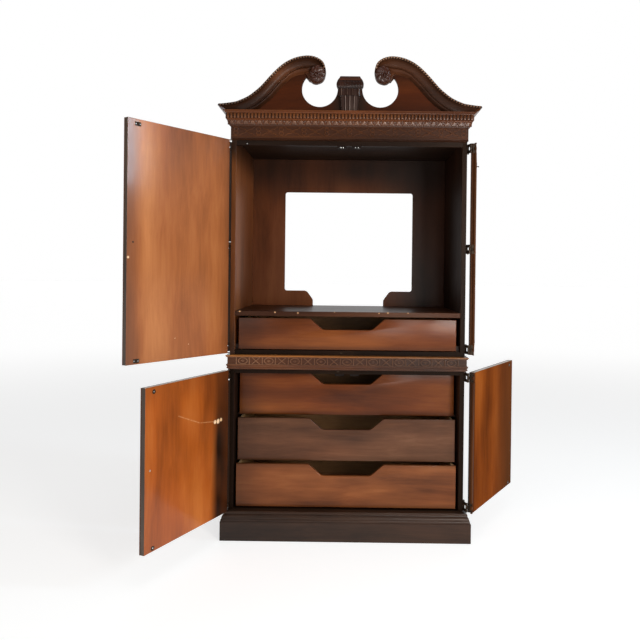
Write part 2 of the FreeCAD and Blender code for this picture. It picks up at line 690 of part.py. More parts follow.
# ---------------------------------------------------------------- drawers
def drawer(name, half, tall, deep, y_front, z0, lift):
    """Front with a scooped top edge, two sides and a back, and a thin bottom."""
    st, sl, sd = D["scoop_top"], D["scoop_low"], D["scoop_deep"]
    pts = [(-half, 0), (half, 0), (half, tall), (st, tall), (sl, tall - sd),
           (-sl, tall - sd), (-st, tall), (-half, tall)]
    f = prism(name + "_front", "XZ_Plane", [pts], D["dr_thick"], reversed_=True)
    round_edges(f, ydir, [spot(s * st.v, tall) for s in (-1, 1)], 14, name + "_lip")
    round_edges(f, ydir, [spot(s * sl.v, tall - sd) for s in (-1, 1)], 34, name + "_scoop")
    place(f, 0, y_front, z0)
    final(f, name + "_front")
    yb = y_front + D["dr_thick"]
    t = D["dr_side"]
    x1 = half - 5
    z1 = z0 + lift
    zt = z0 + tall - 6
    sides = [box(name + "_sa", -x1, -x1 + t, yb, yb + deep, z1, zt),
             box(name + "_sb", x1 - t, x1, yb, yb + deep, z1, zt),
             box(name + "_back", -x1 + t, x1 - t, yb + deep - t, yb + deep, z1 + 20, zt - 6)]
    g = doc.addObject("Part::Compound", name + "_box")
    g.Links = sides
    final(g, name + "_box")
    final(box(name + "_bottom", -x1 + t, x1 - t, yb, yb + deep, z1 + 14, z1 + 20), name + "_bottom")


drawer("upper_drawer", D["ud_half"], D["ud_tall"], D["ud_deep"], F + D["ud_closed"], D["ud_low"], -2.7)
for k, (nm, out) in enumerate((("bottom_drawer", D["out_low"]), ("middle_drawer", D["out_mid"]), ("top_drawer", q(0)))):
    drawer(nm, D["dr_half"], D["dr_tall"], D["dr_deep"], F + D["dr_closed"] - out,
           D["dr_low"] + D["dr_pitch"] * k, 3)

doc.recompute()
bad = [o.Label for o in doc.Objects if "Invalid" in o.State or "Error" in o.State]
assert not bad, bad
os.makedirs("parts", exist_ok=True)
for o in FINAL:
    s = o.Shape
    assert not s.isNull() and s.isValid() and s.Volume > 1, o.Label
for o in FINAL:
    o.Shape.exportStep("parts/%s.step" % o.Label)
print(len(FINAL), "parts written")
for o in FINAL:
    b = o.Shape.BoundBox
    print("%-26s solids %2d  x %7.1f %7.1f  y %7.1f %7.1f  z %7.1f %7.1f" % (
        o.Label, len(o.Shape.Solids), b.XMin, b.XMax, b.YMin, b.YMax, b.ZMin, b.ZMax))
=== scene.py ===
import bpy
import bmesh
import math
from mathutils import Matrix, Vector


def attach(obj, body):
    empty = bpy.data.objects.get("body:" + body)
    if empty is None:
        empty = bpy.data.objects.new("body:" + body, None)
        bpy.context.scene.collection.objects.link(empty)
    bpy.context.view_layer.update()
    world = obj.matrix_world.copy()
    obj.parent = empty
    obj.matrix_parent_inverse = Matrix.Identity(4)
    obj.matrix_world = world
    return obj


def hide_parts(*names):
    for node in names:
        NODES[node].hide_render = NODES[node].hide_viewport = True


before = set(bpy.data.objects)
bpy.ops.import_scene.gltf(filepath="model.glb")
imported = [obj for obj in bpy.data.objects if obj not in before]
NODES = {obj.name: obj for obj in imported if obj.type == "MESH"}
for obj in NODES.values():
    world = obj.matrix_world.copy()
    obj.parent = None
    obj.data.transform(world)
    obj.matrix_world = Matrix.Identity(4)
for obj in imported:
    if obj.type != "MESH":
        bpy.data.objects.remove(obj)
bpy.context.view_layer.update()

CAB = "cabinet"

# ------------------------------------------------------------------ materials


class Mat:
    """A node material put together with short calls."""

    def __init__(self, name):
        self.m = bpy.data.materials.new(name)
        self.m.use_nodes = True
        self.t = self.m.node_tree
        self.t.nodes.clear()
        self.out = self.t.nodes.new("ShaderNodeOutputMaterial")
        self.b = self.t.nodes.new("ShaderNodeBsdfPrincipled")
        self.t.links.new(self.b.outputs[0], self.out.inputs[0])
        self.tc = self.t.nodes.new("ShaderNodeTexCoord")

    def put(self, sock, v):
        if isinstance(v, bpy.types.NodeSocket):
            self.t.links.new(v, sock)
        elif isinstance(v, (tuple, list)) and len(v) == 3 and len(sock.default_value) == 4:
            sock.default_value = (*v, 1.0)
        else:
            sock.default_value = v

    def obj(self):
        return self.tc.outputs["Object"]

    def mapping(self, vec, loc=(0, 0, 0), rot=(0, 0, 0), scale=(1, 1, 1)):
        n = self.t.nodes.new("ShaderNodeMapping")
        self.put(n.inputs["Vector"], vec)
        n.inputs["Location"].default_value = loc
        n.inputs["Rotation"].default_value = rot
        n.inputs["Scale"].default_value = scale
        return n.outputs[0]

    def noise(self, vec, scale, detail=3.0, rough=0.55, dist=0.0, color=False):
        n = self.t.nodes.new("ShaderNodeTexNoise")
        self.put(n.inputs["Vector"], vec)
        n.inputs["Scale"].default_value = scale
        n.inputs["Detail"].default_value = detail
        n.inputs["Roughness"].default_value = rough
        n.inputs["Distortion"].default_value = dist
        return n.outputs["Color" if color else "Fac"]

    def ramp(self, fac, stops, interp="LINEAR"):
        n = self.t.nodes.new("ShaderNodeValToRGB")
        n.color_ramp.interpolation = interp
        e = n.color_ramp.elements
        while len(e) < len(stops):
            e.new(0.5)
        for i, (p, c) in enumerate(stops):
            e[i].position = p
            e[i].color = (*c, 1.0) if isinstance(c, (tuple, list)) else (c, c, c, 1.0)
        self.put(n.inputs[0], fac)
        return n.outputs[0]

    def math(self, op, a, b=0.0, c=None, clamp=False):
        n = self.t.nodes.new("ShaderNodeMath")
        n.operation = op
        n.use_clamp = clamp
        self.put(n.inputs[0], a)
        self.put(n.inputs[1], b)
        if c is not None:
            self.put(n.inputs[2], c)
        return n.outputs[0]

    def vmath(self, op, a, b=(0, 0, 0)):
        n = self.t.nodes.new("ShaderNodeVectorMath")
        n.operation = op
        self.put(n.inputs[0], a)
        if isinstance(b, (int, float)):
            n.inputs["Scale"].default_value = b
        else:
            self.put(n.inputs[1], b)
        return n.outputs["Value"] if op in ("DISTANCE", "LENGTH", "DOT_PRODUCT") else n.outputs[0]

    def mix(self, fac, a, b, blend="MIX"):
        n = self.t.nodes.new("ShaderNodeMix")
        n.data_type = "RGBA"
        n.blend_type = blend
        n.clamp_factor = True
        self.put(n.inputs[0], fac)
        self.put(n.inputs[6], a)
        self.put(n.inputs[7], b)
        return n.outputs[2]

    def span(self, v, a, b, c=0.0, d=1.0, smooth=False):
        n = self.t.nodes.new("ShaderNodeMapRange")
        n.clamp = True
        if smooth:
            n.interpolation_type = "SMOOTHSTEP"
        self.put(n.inputs[0], v)
        for i, x in enumerate((a, b, c, d)):
            n.inputs[i + 1].default_value = x
        return n.outputs[0]

    def xyz(self, vec):
        n = self.t.nodes.new("ShaderNodeSeparateXYZ")
        self.put(n.inputs[0], vec)
        return n.outputs

    def bump(self, height, strength=0.3, distance=0.0005, normal=None):
        n = self.t.nodes.new("ShaderNodeBump")
        n.inputs["Strength"].default_value = strength
        n.inputs["Distance"].default_value = distance
        self.put(n.inputs["Height"], height)
        if normal is not None:
            self.put(n.inputs["Normal"], normal)
        self.t.links.new(n.outputs[0], self.b.inputs["Normal"])
        return n.outputs[0]

    def set(self, **kw):
        for k, v in kw.items():
            self.put(self.b.inputs[k.replace("_", " ")], v)
        return self


def lin(r, g, b):
    """sRGB 0-255 to linear."""
    def f(c):
        c /= 255.0
        return c / 12.92 if c <= 0.04045 else ((c + 0.055) / 1.055) ** 2.4
    return (f(r), f(g), f(b))


def wood(name, dark, mid, light, grain="Z", seed=(0.0, 0.0, 0.0), local=None, tone=0.55, figure=0.30,
         streak=0.45, pore=0.20, rough=0.36, coat=0.35, coat_rough=0.20, bump=0.2, shade=(), spots=(),
         scratch=(), ripple=0.0, warm=0.35, ring=34.0, spec=0.12, glaze=()):
    """Lacquered wood. grain is the axis of the fibres in the object's own (or the
    door's own) coordinates, local a (location, angle) that brings them there."""
    m = Mat(name)
    base = m.obj()
    if local is not None:
        base = m.mapping(base, loc=local[0], rot=(0, 0, local[1]))
    st = {"X": (0.09, 1, 1), "Y": (1, 0.09, 1), "Z": (1, 1, 0.09)}[grain]
    moved = m.mapping(base, loc=seed)
    g = m.mapping(moved, scale=st)
    # the fibres wander a little
    wander = m.noise(moved, 2.0, 2.0, 0.5, color=True)
    w = m.vmath("SCALE", m.vmath("SUBTRACT", wander, (0.5, 0.5, 0.5)), 0.05)
    g = m.vmath("ADD", g, w)
    cloud = m.noise(m.mapping(moved, scale=tuple(0.30 if a < 1 else 1 for a in st)), 4.2, 3.0, 0.5)
    wide = m.noise(m.mapping(moved, loc=(3.1, 1.7, 5.3), scale=tuple(0.22 if a < 1 else 1 for a in st)), 7.5, 2.0, 0.5)
    field = m.noise(m.mapping(g, scale=tuple(1.3 if a < 1 else 1 for a in st)), 2.6, 1.0, 0.4)
    rings = m.math("MULTIPLY_ADD", m.math("SINE", m.math("MULTIPLY", field, ring)), 0.5, 0.5)
    lines = m.noise(g, 70.0, 3.0, 0.55)
    fine = m.noise(m.mapping(g, scale=tuple(0.45 if a < 1 else 1 for a in st)), 420.0, 2.0, 0.5)
    t = m.math("MULTIPLY_ADD", m.math("SUBTRACT", cloud, 0.5), tone * 2.0, 0.5)
    t = m.math("MULTIPLY_ADD", m.math("SUBTRACT", wide, 0.5), tone * 0.9, t)
    t = m.math("MULTIPLY_ADD", m.math("SUBTRACT", rings, 0.5), figure * 0.42, t)
    t = m.math("MULTIPLY_ADD", m.math("SUBTRACT", lines, 0.5), streak * 0.95, t)
    t = m.math("MULTIPLY_ADD", m.math("SUBTRACT", fine, 0.5), streak * 0.45, t, clamp=True)
    col = m.ramp(t, [(0.05, dark), (0.5, mid), (0.95, light)])
    # redder and yellower places in the stain
    if warm > 0:
        hue = m.noise(m.mapping(moved, loc=(7.3, 2.2, 1.1), scale=tuple(0.35 if a < 1 else 1 for a in st)), 3.1, 2.0, 0.5)
        col = m.mix(m.span(hue, 0.42, 0.68, 0.0, warm, smooth=True), col, (1.10, 0.84, 0.66), "MULTIPLY")
    pores = m.ramp(m.noise(m.mapping(g, scale=tuple(0.5 if a < 1 else 1 for a in st)), 300.0, 2.0, 0.6),
                   [(0.60, 0.0), (0.72, 1.0)])
    col = m.mix(m.math("MULTIPLY", pores, pore), col, tuple(c * 0.35 for c in dark))
    # a darker or lighter tint blended over parts of a face along one axis; below it makes painted shade and painted
    # highlights, and in places tone of the stain
    s = m.xyz(base)
    for ax, a, b, amount, tint in shade:
        f = m.span(s["XYZ".index(ax)], a, b, 0.0, amount, smooth=True)
        f = m.math("MULTIPLY", f, m.span(cloud, 0.3, 0.6, 0.65, 1.15))
        col = m.mix(f, col, tint)
    # darker tint in the bottom of carving and other recesses, by depth along a direction: painted shade, partly also
    # dark wax left there: (direction, from, to, amount, tint)
    for vec, a, b, amount, tint in glaze:
        d = m.vmath("DOT_PRODUCT", base, vec)
        f = m.math("MULTIPLY", m.span(d, a, b, 0.0, amount), m.span(wide, 0.3, 0.6, 0.75, 1.1))
        col = m.mix(f, col, tint)
    for centre, radius, tint, hard in spots:
        d = m.vmath("DISTANCE", base, centre)
        d = m.math("ADD", d, m.math("MULTIPLY", m.math("SUBTRACT", m.noise(base, 900.0, 2.0), 0.5), radius * 0.9))
        col = m.mix(m.span(d, radius * (0.5 + 0.45 * hard), radius, 1.0, 0.0), col, tint)
    for (x0, z0), (x1, z1), width, tint, amount in scratch:
        # a thin mark between two places on a door's face
        length = math.hypot(x1 - x0, z1 - z0)
        ux, uz = (x1 - x0) / length, (z1 - z0) / length
        dx = m.math("SUBTRACT", s[0], x0)
        dz = m.math("SUBTRACT", s[2], z0)
        along = m.math("ADD", m.math("MULTIPLY", dx, ux), m.math("MULTIPLY", dz, uz))
        across = m.math("ABSOLUTE", m.math("ADD", m.math("MULTIPLY", dx, -uz), m.math("MULTIPLY", dz, ux)))
        f = m.math("MULTIPLY", m.span(across, width * 0.4, width, 1.0, 0.0),
                   m.math("MULTIPLY", m.span(along, 0.0, 0.006), m.span(along, length - 0.006, length, 1.0, 0.0)))
        f = m.math("MULTIPLY", f, m.span(m.noise(base, 160.0, 2.0), 0.35, 0.55, 0.3, 1.0))
        col = m.mix(m.math("MULTIPLY", f, amount), col, tint)
    r = m.math("MULTIPLY_ADD", m.math("SUBTRACT", lines, 0.5), 0.2, rough)
    r = m.math("ADD", r, m.math("MULTIPLY", pores, 0.1), clamp=True)
    m.set(Base_Color=col, Roughness=r)
    m.b.inputs["Coat Weight"].default_value = coat
    m.b.inputs["Coat Roughness"].default_value = coat_rough
    m.b.inputs["Coat IOR"].default_value = 1.5
    m.b.inputs["Specular IOR Level"].default_value = spec
    h = m.math("SUBTRACT", m.math("MULTIPLY", lines, 0.6), m.math("MULTIPLY", pores, 0.5))
    h = m.math("ADD", h, m.math("MULTIPLY", fine, 0.25))
    m.bump(h, bump, 0.0003)
    if ripple > 0:
        # lacquered veneer is never quite flat: a slow ripple breaks up reflections
        k = m.t.nodes.new("ShaderNodeBump")
        k.inputs["Strength"].default_value = ripple
        k.inputs["Distance"].default_value = 0.004
        m.put(k.inputs["Height"], m.noise(base, 7.0, 2.0, 0.5))
        m.t.links.new(k.outputs[0], m.b.inputs["Coat Normal"])
    return m.m


def metal(name, color, rough, worn=0.3, tarnish=(0.10, 0.07, 0.04)):
    m = Mat(name)
    n1 = m.noise(m.obj(), 60.0, 4.0, 0.6)
    n2 = m.noise(m.obj(), 700.0, 2.0, 0.5)
    col = m.mix(m.span(n1, 0.45, 0.75, 0.0, worn), color, tarnish)
    m.set(Base_Color=col, Metallic=1.0, Roughness=m.math("MULTIPLY_ADD", n1, 0.25, rough - 0.1, clamp=True))
    m.bump(n2, 0.12, 0.0002)
    return m.m


BLACK = lin(22, 14, 9)
DARK = lin(24, 12, 7)
FFY = -0.288                           # front of the frieze and the pediment board
CARVED = (lin(34, 15, 6), lin(75, 39, 16), lin(108, 61, 28))
# painted shade: the cornice's lower cove, which faces down, is tinted DARK below z 1.8935
carved = wood("carved_mahogany", *CARVED, "X", (0.3, 1.2, 0.7), tone=0.5, figure=0.15, streak=0.4, coat=0.3,
              coat_rough=0.24, shade=(("Z", 1.8965, 1.8935, 0.55, DARK),))
# painted shade: the ground between the dentils is coloured much darker than the carving, partly also for dark wax there
strip_dark = wood("carved_ground_mahogany", lin(24, 12, 6), lin(52, 28, 14), lin(74, 43, 23), "X", (0.3, 1.2, 0.7), tone=0.5,
                  figure=0.1, streak=0.4, coat=0.15, coat_rough=0.3)
# lighter copy of the carved mahogany for the leaf band and the frieze bead: painted highlight on the raised carving,
# with painted shade tinted into the leaf band's recesses
carved_top = wood("carved_mahogany_light", lin(41, 23, 14), lin(89, 55, 35), lin(134, 93, 65), "X", (0.3, 1.2, 0.7), tone=0.5,
                  figure=0.15, streak=0.4, coat=0.4, coat_rough=0.2,
                  glaze=(((0.0, 1.0, 0.165), 0.0124, 0.0150, 0.8, lin(52, 28, 15)),))
carved_side = wood("carved_mahogany_side", *CARVED, "Y", (0.9, 0.2, 0.1), tone=0.5, figure=0.15, streak=0.4, coat=0.3,
                   coat_rough=0.24)
# painted highlight: the waist's top fillet, above z 0.8388, is tinted a light orange
waist_wood = wood("waist_mahogany", lin(36, 18, 9), lin(84, 47, 25), lin(130, 80, 45), "X", (1.3, 4.2, 0.7),
                  tone=0.75, figure=0.15, streak=0.45, coat=0.35, coat_rough=0.22,
                  shade=(("Z", 0.8375, 0.8388, 0.6, lin(176, 112, 54)),))
# painted shade: the ground behind the waist fret is coloured darker than the band
waist_ground = wood("waist_ground_mahogany", lin(32, 16, 8), lin(70, 38, 19), lin(100, 58, 30), "X", (1.3, 4.2, 0.7),
                    tone=0.9, figure=0.15, streak=0.45, coat=0.2, coat_rough=0.24)
waist_side = wood("waist_mahogany_side", lin(36, 20, 11), lin(88, 52, 31), lin(134, 86, 54), "Y", (1.9, 4.2, 0.1),
                  tone=0.75, figure=0.15, streak=0.45, coat=0.35, coat_rough=0.22)
# lighter copy for the raised waist fret: painted highlight, partly also worn polish on the fret
waist_light = wood("waist_fret_mahogany", lin(56, 33, 21), lin(112, 74, 49), lin(166, 124, 92), "X", (1.3, 4.2, 0.7),
                   tone=0.85, figure=0.0, streak=0.4, coat=0.45, coat_rough=0.18)
# plinth coloured near-black: partly a dark finish, partly painted shade for the shadow under the drawers
plinth_wood = wood("plinth_mahogany", lin(16, 10, 7), lin(41, 26, 17), lin(68, 45, 31), "X", (4.3, 1.2, 5.7),
                   tone=0.6, figure=0.2, streak=0.45, rough=0.42, coat=0.3, coat_rough=0.24)
plinth_side_wood = wood("plinth_mahogany_side", lin(16, 10, 7), lin(41, 26, 17), lin(68, 45, 31), "Y", (4.9, 0.2, 5.1),
                        tone=0.6, figure=0.2, streak=0.45, rough=0.42, coat=0.3, coat_rough=0.24)
# the frieze board is darker than its fret: painted shade on the ground between the fret, painted highlight on the fret
frieze_wood = wood("frieze_mahogany", lin(27, 12, 5), lin(60, 30, 12), lin(87, 48, 22), "X", (2.3, 0.2, 1.7),
                   tone=0.55, figure=0.2, streak=0.35, rough=0.45, coat=0.15, coat_rough=0.3)
frieze_light = wood("frieze_fret_mahogany", lin(37, 18, 8), lin(79, 43, 20), lin(113, 67, 36), "X", (2.3, 0.2, 1.7),
                    tone=0.7, figure=0.1, streak=0.35, rough=0.4, coat=0.25, coat_rough=0.24)
# darker towards the crest and towards the right; the outermost fillet behind the rope is tinted near-black: painted
# shade between the rope's beads
crown_wood = wood("crown_mahogany", lin(22, 10, 5), lin(60, 32, 16), lin(100, 58, 34), "X", (1.9, 0.4, 2.2),
                  tone=0.8, figure=0.12, streak=0.4, rough=0.46, coat=0.14, coat_rough=0.28, spec=0.04,
                  shade=(("Z", 2.13, 2.19, 0.45, lin(34, 22, 15)), ("X", 0.12, 0.34, 0.5, lin(32, 24, 19))),
                  glaze=(((0.0, 1.0, 0.0), FFY - 0.0440, FFY - 0.0462, 0.85, lin(17, 9, 6)),))
# lighter than the crown: painted highlight on the rope's beads
rope_wood = wood("rope_mahogany", lin(54, 35, 25), lin(108, 78, 58), lin(154, 122, 98), "X", (1.9, 0.4, 2.2),
                 tone=0.8, figure=0.0, streak=0.4, rough=0.40, coat=0.35, coat_rough=0.2)
rosette_wood = wood("rosette_mahogany", lin(26, 12, 8), lin(62, 32, 21), lin(106, 58, 39), "X", (2.9, 3.4, 0.2),
                    tone=0.7, figure=0.0, streak=0.3, rough=0.34, coat=0.38, coat_rough=0.2)
# the cap's top above z 2.096 is tinted lighter and redder; darker below z 2.059 under the roll and where the cap lies
# less than 30 mm proud: painted shade
bracket_wood = wood("bracket_mahogany", lin(22, 11, 7), lin(54, 30, 20), lin(86, 51, 36), "Z", (2.9, 1.4, 3.2),
                    tone=0.8, figure=0.0, streak=0.4, rough=0.42, coat=0.25, coat_rough=0.2,
                    shade=(("Z", 2.093, 2.096, 0.65, lin(108, 56, 31)), ("Z", 2.066, 2.059, 0.8, lin(22, 12, 8))),
                    glaze=(((0.0, 1.0, 0.0), FFY - 0.0322, FFY - 0.0300, 0.6, lin(30, 18, 14)),))
# the flute materials are very light with near-black depths: painted highlights on the arrises, painted shade in the
# flutes and along the bottom of the upper tier
flute_low = wood("bracket_flutes_low", lin(110, 92, 84), lin(176, 156, 146), lin(214, 196, 186), "Z", (2.9, 1.4, 3.2),
                 tone=0.9, figure=0.0, streak=0.3, rough=0.36, coat=0.4, coat_rough=0.2, warm=0.0,
                 glaze=(((0.0, 1.0, 0.0), FFY - 0.0250, FFY - 0.0228, 0.97, lin(50, 33, 27)),))
flute_top = wood("bracket_flutes_top", lin(70, 52, 44), lin(114, 92, 80), lin(154, 130, 116), "Z", (2.9, 1.4, 3.2),
                 tone=0.9, figure=0.0, streak=0.3, rough=0.36, coat=0.4, coat_rough=0.2, warm=0.0,
                 glaze=(((0.0, 1.0, 0.0), FFY - 0.0284, FFY - 0.0266, 0.97, lin(46, 27, 20)),
                        ((0.0, 0.0, 1.0), 2.0295, 2.0270, 0.8, lin(26, 16, 12))))
# painted shade under the crown, darker towards the top, and a painted shadow round the bracket (the dark spot)
tympanum_wood = wood("tympanum_mahogany", lin(34, 12, 2), lin(66, 28, 6), lin(88, 42, 12), "X", (0.2, 0.2, 4.7),
                     tone=0.5, figure=0.22, streak=0.4, rough=0.5, coat=0.10, coat_rough=0.3, spec=0.06,
                     shade=(("Z", 2.05, 2.17, 0.8, lin(36, 17, 8)),),
                     spots=(((0.0, -0.288, 2.0), 0.105, lin(40, 24, 16), 0.1),))
case_side = wood("case_side_mahogany", lin(62, 30, 15), lin(118, 64, 32), lin(156, 92, 50), "Z", (3.1, 0.3, 0.9),
                 tone=0.6, figure=0.35, streak=0.35, rough=0.32, coat=0.45, coat_rough=0.14, ripple=0.1)
# painted shade: the case's front edges and the tops of its sides are coloured near-black
case_front = wood("case_edge_mahogany", lin(14, 9, 6), lin(30, 19, 12), lin(50, 33, 22), "Z", (5.1, 0.1, 0.4),
                  tone=0.4, figure=0.1, streak=0.35, rough=0.5, coat=0.05, coat_rough=0.3, spec=0.02)
case_front_left = wood("case_edge_mahogany_left", lin(56, 28, 10), lin(98, 54, 24), lin(128, 76, 40), "Z", (5.1, 0.1, 0.4),
                       tone=0.5, figure=0.1, streak=0.35, rough=0.42, coat=0.12, coat_rough=0.24,
                       shade=(("Z", 1.70, 1.80, 0.9, lin(26, 17, 10)), ("Z", 1.02, 0.90, 0.85, lin(26, 17, 10))))
# painted shade: darker towards the top, under the top board
inner_side = wood("bay_side_veneer", lin(62, 31, 15), lin(124, 72, 38), lin(158, 100, 58), "Z", (6.1, 3.3, 0.4),
                  tone=0.5, figure=0.25, streak=0.35, rough=0.40, coat=0.18, coat_rough=0.24, ripple=0.08,
                  shade=(("Z", 1.66, 1.82, 0.8, lin(32, 17, 9)),))
# a shaded copy of the bay's veneer for the right wall: painted shade
inner_right = wood("bay_right_veneer", lin(19, 11, 7), lin(39, 23, 14), lin(59, 36, 24), "Z", (6.1, 3.3, 0.4),
                   tone=0.5, figure=0.25, streak=0.35, rough=0.5, coat=0.04, coat_rough=0.3, ripple=0.08, spec=0.03)
# painted shade at the top and towards the right of the back
inner_back = wood("bay_back_veneer", lin(44, 22, 11), lin(96, 51, 26), lin(124, 73, 43), "Z", (4.4, 7.3, 2.4),
                  tone=0.7, figure=0.3, streak=0.35, rough=0.45, coat=0.10, coat_rough=0.26, spec=0.06,
                  shade=(("Z", 1.56, 1.78, 0.85, lin(30, 18, 12)), ("X", 0.02, 0.40, 0.8, lin(30, 17, 11))))
# painted shade: the drawer bay's inner sides are coloured near-black
low_side = wood("drawer_bay_side", lin(18, 11, 8), lin(40, 24, 16), lin(60, 38, 26), "Z", (6.1, 5.3, 0.4),
                tone=0.5, figure=0.1, streak=0.35, rough=0.45, coat=0.1, coat_rough=0.3)
shelf_wood = wood("shelf_veneer", lin(32, 18, 11), lin(62, 36, 23), lin(92, 57, 36), "X", (1.4, 2.3, 0.4),
                  tone=0.5, figure=0.3, streak=0.4, rough=0.36, coat=0.12, coat_rough=0.2, ripple=0.12, spec=0.03,
                  spots=[((x / 1000, -0.2585, z / 1000), r, lin(196, 150, 108), 0.5) for x, z, r in
                         ((-498, 1042, 0.0050), (-335, 1039, 0.0042), (-229, 1037, 0.0040),
                          (145, 1039, 0.0034), (186, 1042, 0.0050), (279, 1043, 0.0042), (-60, 1043, 0.0025))])
# painted shade: the rails and the boards' inner faces are coloured near-black
rail_wood = wood("rail_mahogany", lin(16, 11, 8), lin(34, 22, 15), lin(56, 37, 25), "X", (7.4, 2.3, 0.4),
                 tone=0.4, figure=0.1, streak=0.4, rough=0.45, coat=0.10, coat_rough=0.3, spec=0.04)
carcase = wood("secondary_wood", lin(40, 25, 15), lin(74, 48, 30), lin(104, 70, 44), "X", (3.4, 2.3, 8.4),
               tone=0.5, figure=0.3, streak=0.5, rough=0.6, coat=0.0, warm=0.1)
carcase_back = wood("back_panel_ply", lin(96, 60, 34), lin(142, 96, 58), lin(172, 124, 80), "Z", (3.4, 9.3, 1.4),
                    tone=0.5, figure=0.5, streak=0.5, rough=0.65, coat=0.0, warm=0.1)
pale = wood("drawer_box_oak", lin(128, 92, 56), lin(176, 134, 88), lin(208, 168, 120), "Y", (3.4, 2.3, 0.4),
            tone=0.45, figure=0.3, streak=0.5, rough=0.5, coat=0.1, coat_rough=0.3, warm=0.1)
# painted highlight: the top faces of the drawer sides are much lighter than the rest of the box
pale_top = wood("drawer_side_top", lin(184, 142, 96), lin(232, 196, 148), lin(250, 226, 184), "Y", (3.9, 2.3, 0.4),
                tone=0.45, figure=0.3, streak=0.5, rough=0.4, coat=0.3, coat_rough=0.2, warm=0.1)
pale_x = wood("drawer_back_oak", lin(84, 58, 36), lin(122, 88, 56), lin(154, 116, 78), "X", (1.4, 5.3, 0.4),
              tone=0.45, figure=0.3, streak=0.5, rough=0.5, coat=0.1, coat_rough=0.3, warm=0.1)
bead_dark = wood("door_bead_lacquer", lin(15, 10, 7), lin(32, 22, 16), lin(54, 37, 27), "Z", (0.4, 2.3, 5.4),
                 tone=0.5, figure=0.0, streak=0.3, pore=0.1, rough=0.44, coat=0.08, coat_rough=0.24, spec=0.04)
edge_dark = wood("door_edge_lacquer", lin(38, 30, 25), lin(80, 66, 56), lin(120, 102, 88), "Z", (0.4, 2.3, 5.4),
                 tone=0.6, figure=0.0, streak=0.4, pore=0.1, rough=0.36, coat=0.4, coat_rough=0.2, spec=0.1)
edge_brown = wood("door_edge_brown", lin(34, 18, 8), lin(72, 40, 18), lin(98, 58, 30), "Z", (0.9, 2.3, 5.4),
                  tone=0.6, figure=0.0, streak=0.4, pore=0.1, rough=0.46, coat=0.08, coat_rough=0.28, spec=0.03)
brass = metal("aged_brass", (0.58, 0.40, 0.17), 0.32, 0.7)
bronze = metal("hinge_dark_bronze", (0.060, 0.042, 0.030), 0.56, 0.5, (0.02, 0.015, 0.011))
steel = metal("catch_steel", (0.5, 0.5, 0.5), 0.34, 0.35, (0.2, 0.18, 0.16))
bright = metal("screw_nickel", (0.86, 0.85, 0.82), 0.26, 0.1, (0.4, 0.38, 0.35))
catch_box = Mat("catch_case_brown")
catch_box.set(Base_Color=catch_box.mix(catch_box.noise(catch_box.obj(), 90.0, 3.0), lin(15, 9, 8), lin(31, 21, 18)), Roughness=0.6, Specular_IOR_Level=0.1)
catch_box.bump(catch_box.noise(catch_box.obj(), 500.0, 2.0), 0.15, 0.0002)
catch_box = catch_box.m

# ------------------------------------------------------------------ mesh tools


def paint(o, mats):
    o.data.materials.clear()
    for k in mats:
        o.data.materials.append(k)


def make(name, verts, faces, mat, body=CAB, angle=38.0, mm=True, matrix=None, slot=None, replaces=(), fix=True):
    """A piece from vertices (millimetres) and faces, riding on a body."""
    me = bpy.data.meshes.new(name)
    k = 0.001 if mm else 1.0
    me.from_pydata([(v[0] * k, v[1] * k, v[2] * k) for v in verts], [], faces)
    me.validate()
    if fix:
        bm = bmesh.new()
        bm.from_mesh(me)
        bmesh.ops.recalc_face_normals(bm, faces=bm.faces)
        bm.to_mesh(me)
        bm.free()
    if matrix is not None:
        me.transform(matrix)
    me.polygons.foreach_set("use_smooth", [True] * len(me.polygons))
    me.set_sharp_from_angle(angle=math.radians(angle))
    o = bpy.data.objects.new(name, me)
    bpy.context.scene.collection.objects.link(o)
    for q in (mat if isinstance(mat, (list, tuple)) else [mat]):
        me.materials.append(q)
    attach(o, body)
    if replaces:
        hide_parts(*replaces)
    return o


def loft(rings, closed=False, caps=True):
    """Quads between rings of equal count; each ring is a closed loop."""
    n = len(rings[0])
    verts = [p for r in rings for p in r]
    faces = []
    m = len(rings)
    for i in range(m if closed else m - 1):
        a, b = i * n, ((i + 1) % m) * n
        for j in range(n):
            k = (j + 1) % n
            faces.append((a + j, a + k, b + k, b + j))
    if caps and not closed:
        faces.append(tuple(range(n))[::-1])
        faces.append(tuple((m - 1) * n + j for j in range(n)))
    return verts, faces


def merge(parts):
    verts, faces = [], []
    for v, f in parts:
        o = len(verts)
        verts += v
        faces += [tuple(i + o for i in q) for q in f]
    return verts, faces


def cove(a, b, n=6, side=1):
    """Quarter-ellipse points from a to b, a left out. side 1 leaves along the
    first coordinate, -1 along the second."""
    out = []
    for i in range(1, n + 1):
        t = math.pi / 2 * i / n
        if side > 0:
            out.append((a[0] + (b[0] - a[0]) * math.sin(t), a[1] + (b[1] - a[1]) * (1 - math.cos(t))))
        else:
            out.append((a[0] + (b[0] - a[0]) * (1 - math.cos(t)), a[1] + (b[1] - a[1]) * math.sin(t)))
    return out


def torus(a, b, out, n=8):
    """A half-round from a to b, standing out along the first coordinate."""
    pts = []
    for i in range(1, n + 1):
        t = math.pi * i / n
        pts.append((a[0] + (b[0] - a[0]) * i / n + out * math.sin(t), (a[1] + b[1]) / 2 - (b[1] - a[1]) / 2 * math.cos(t)))
    return pts


def catmull(pts, per):
    out = []
    n = len(pts)
    for i in range(n - 1):
        p0 = pts[max(i - 1, 0)]
        p1, p2 = pts[i], pts[i + 1]
        p3 = pts[min(i + 2, n - 1)]
        for s in range(per):
            t = s / per
            t2, t3 = t * t, t * t * t
            out.append(tuple(0.5 * ((2 * b) + (c - a) * t + (2 * a - 5 * b + 4 * c - d) * t2
                                    + (3 * b - a - 3 * c + d) * t3) for a, b, c, d in zip(p0, p1, p2, p3)))
    out.append(tuple(pts[-1]))
    return out


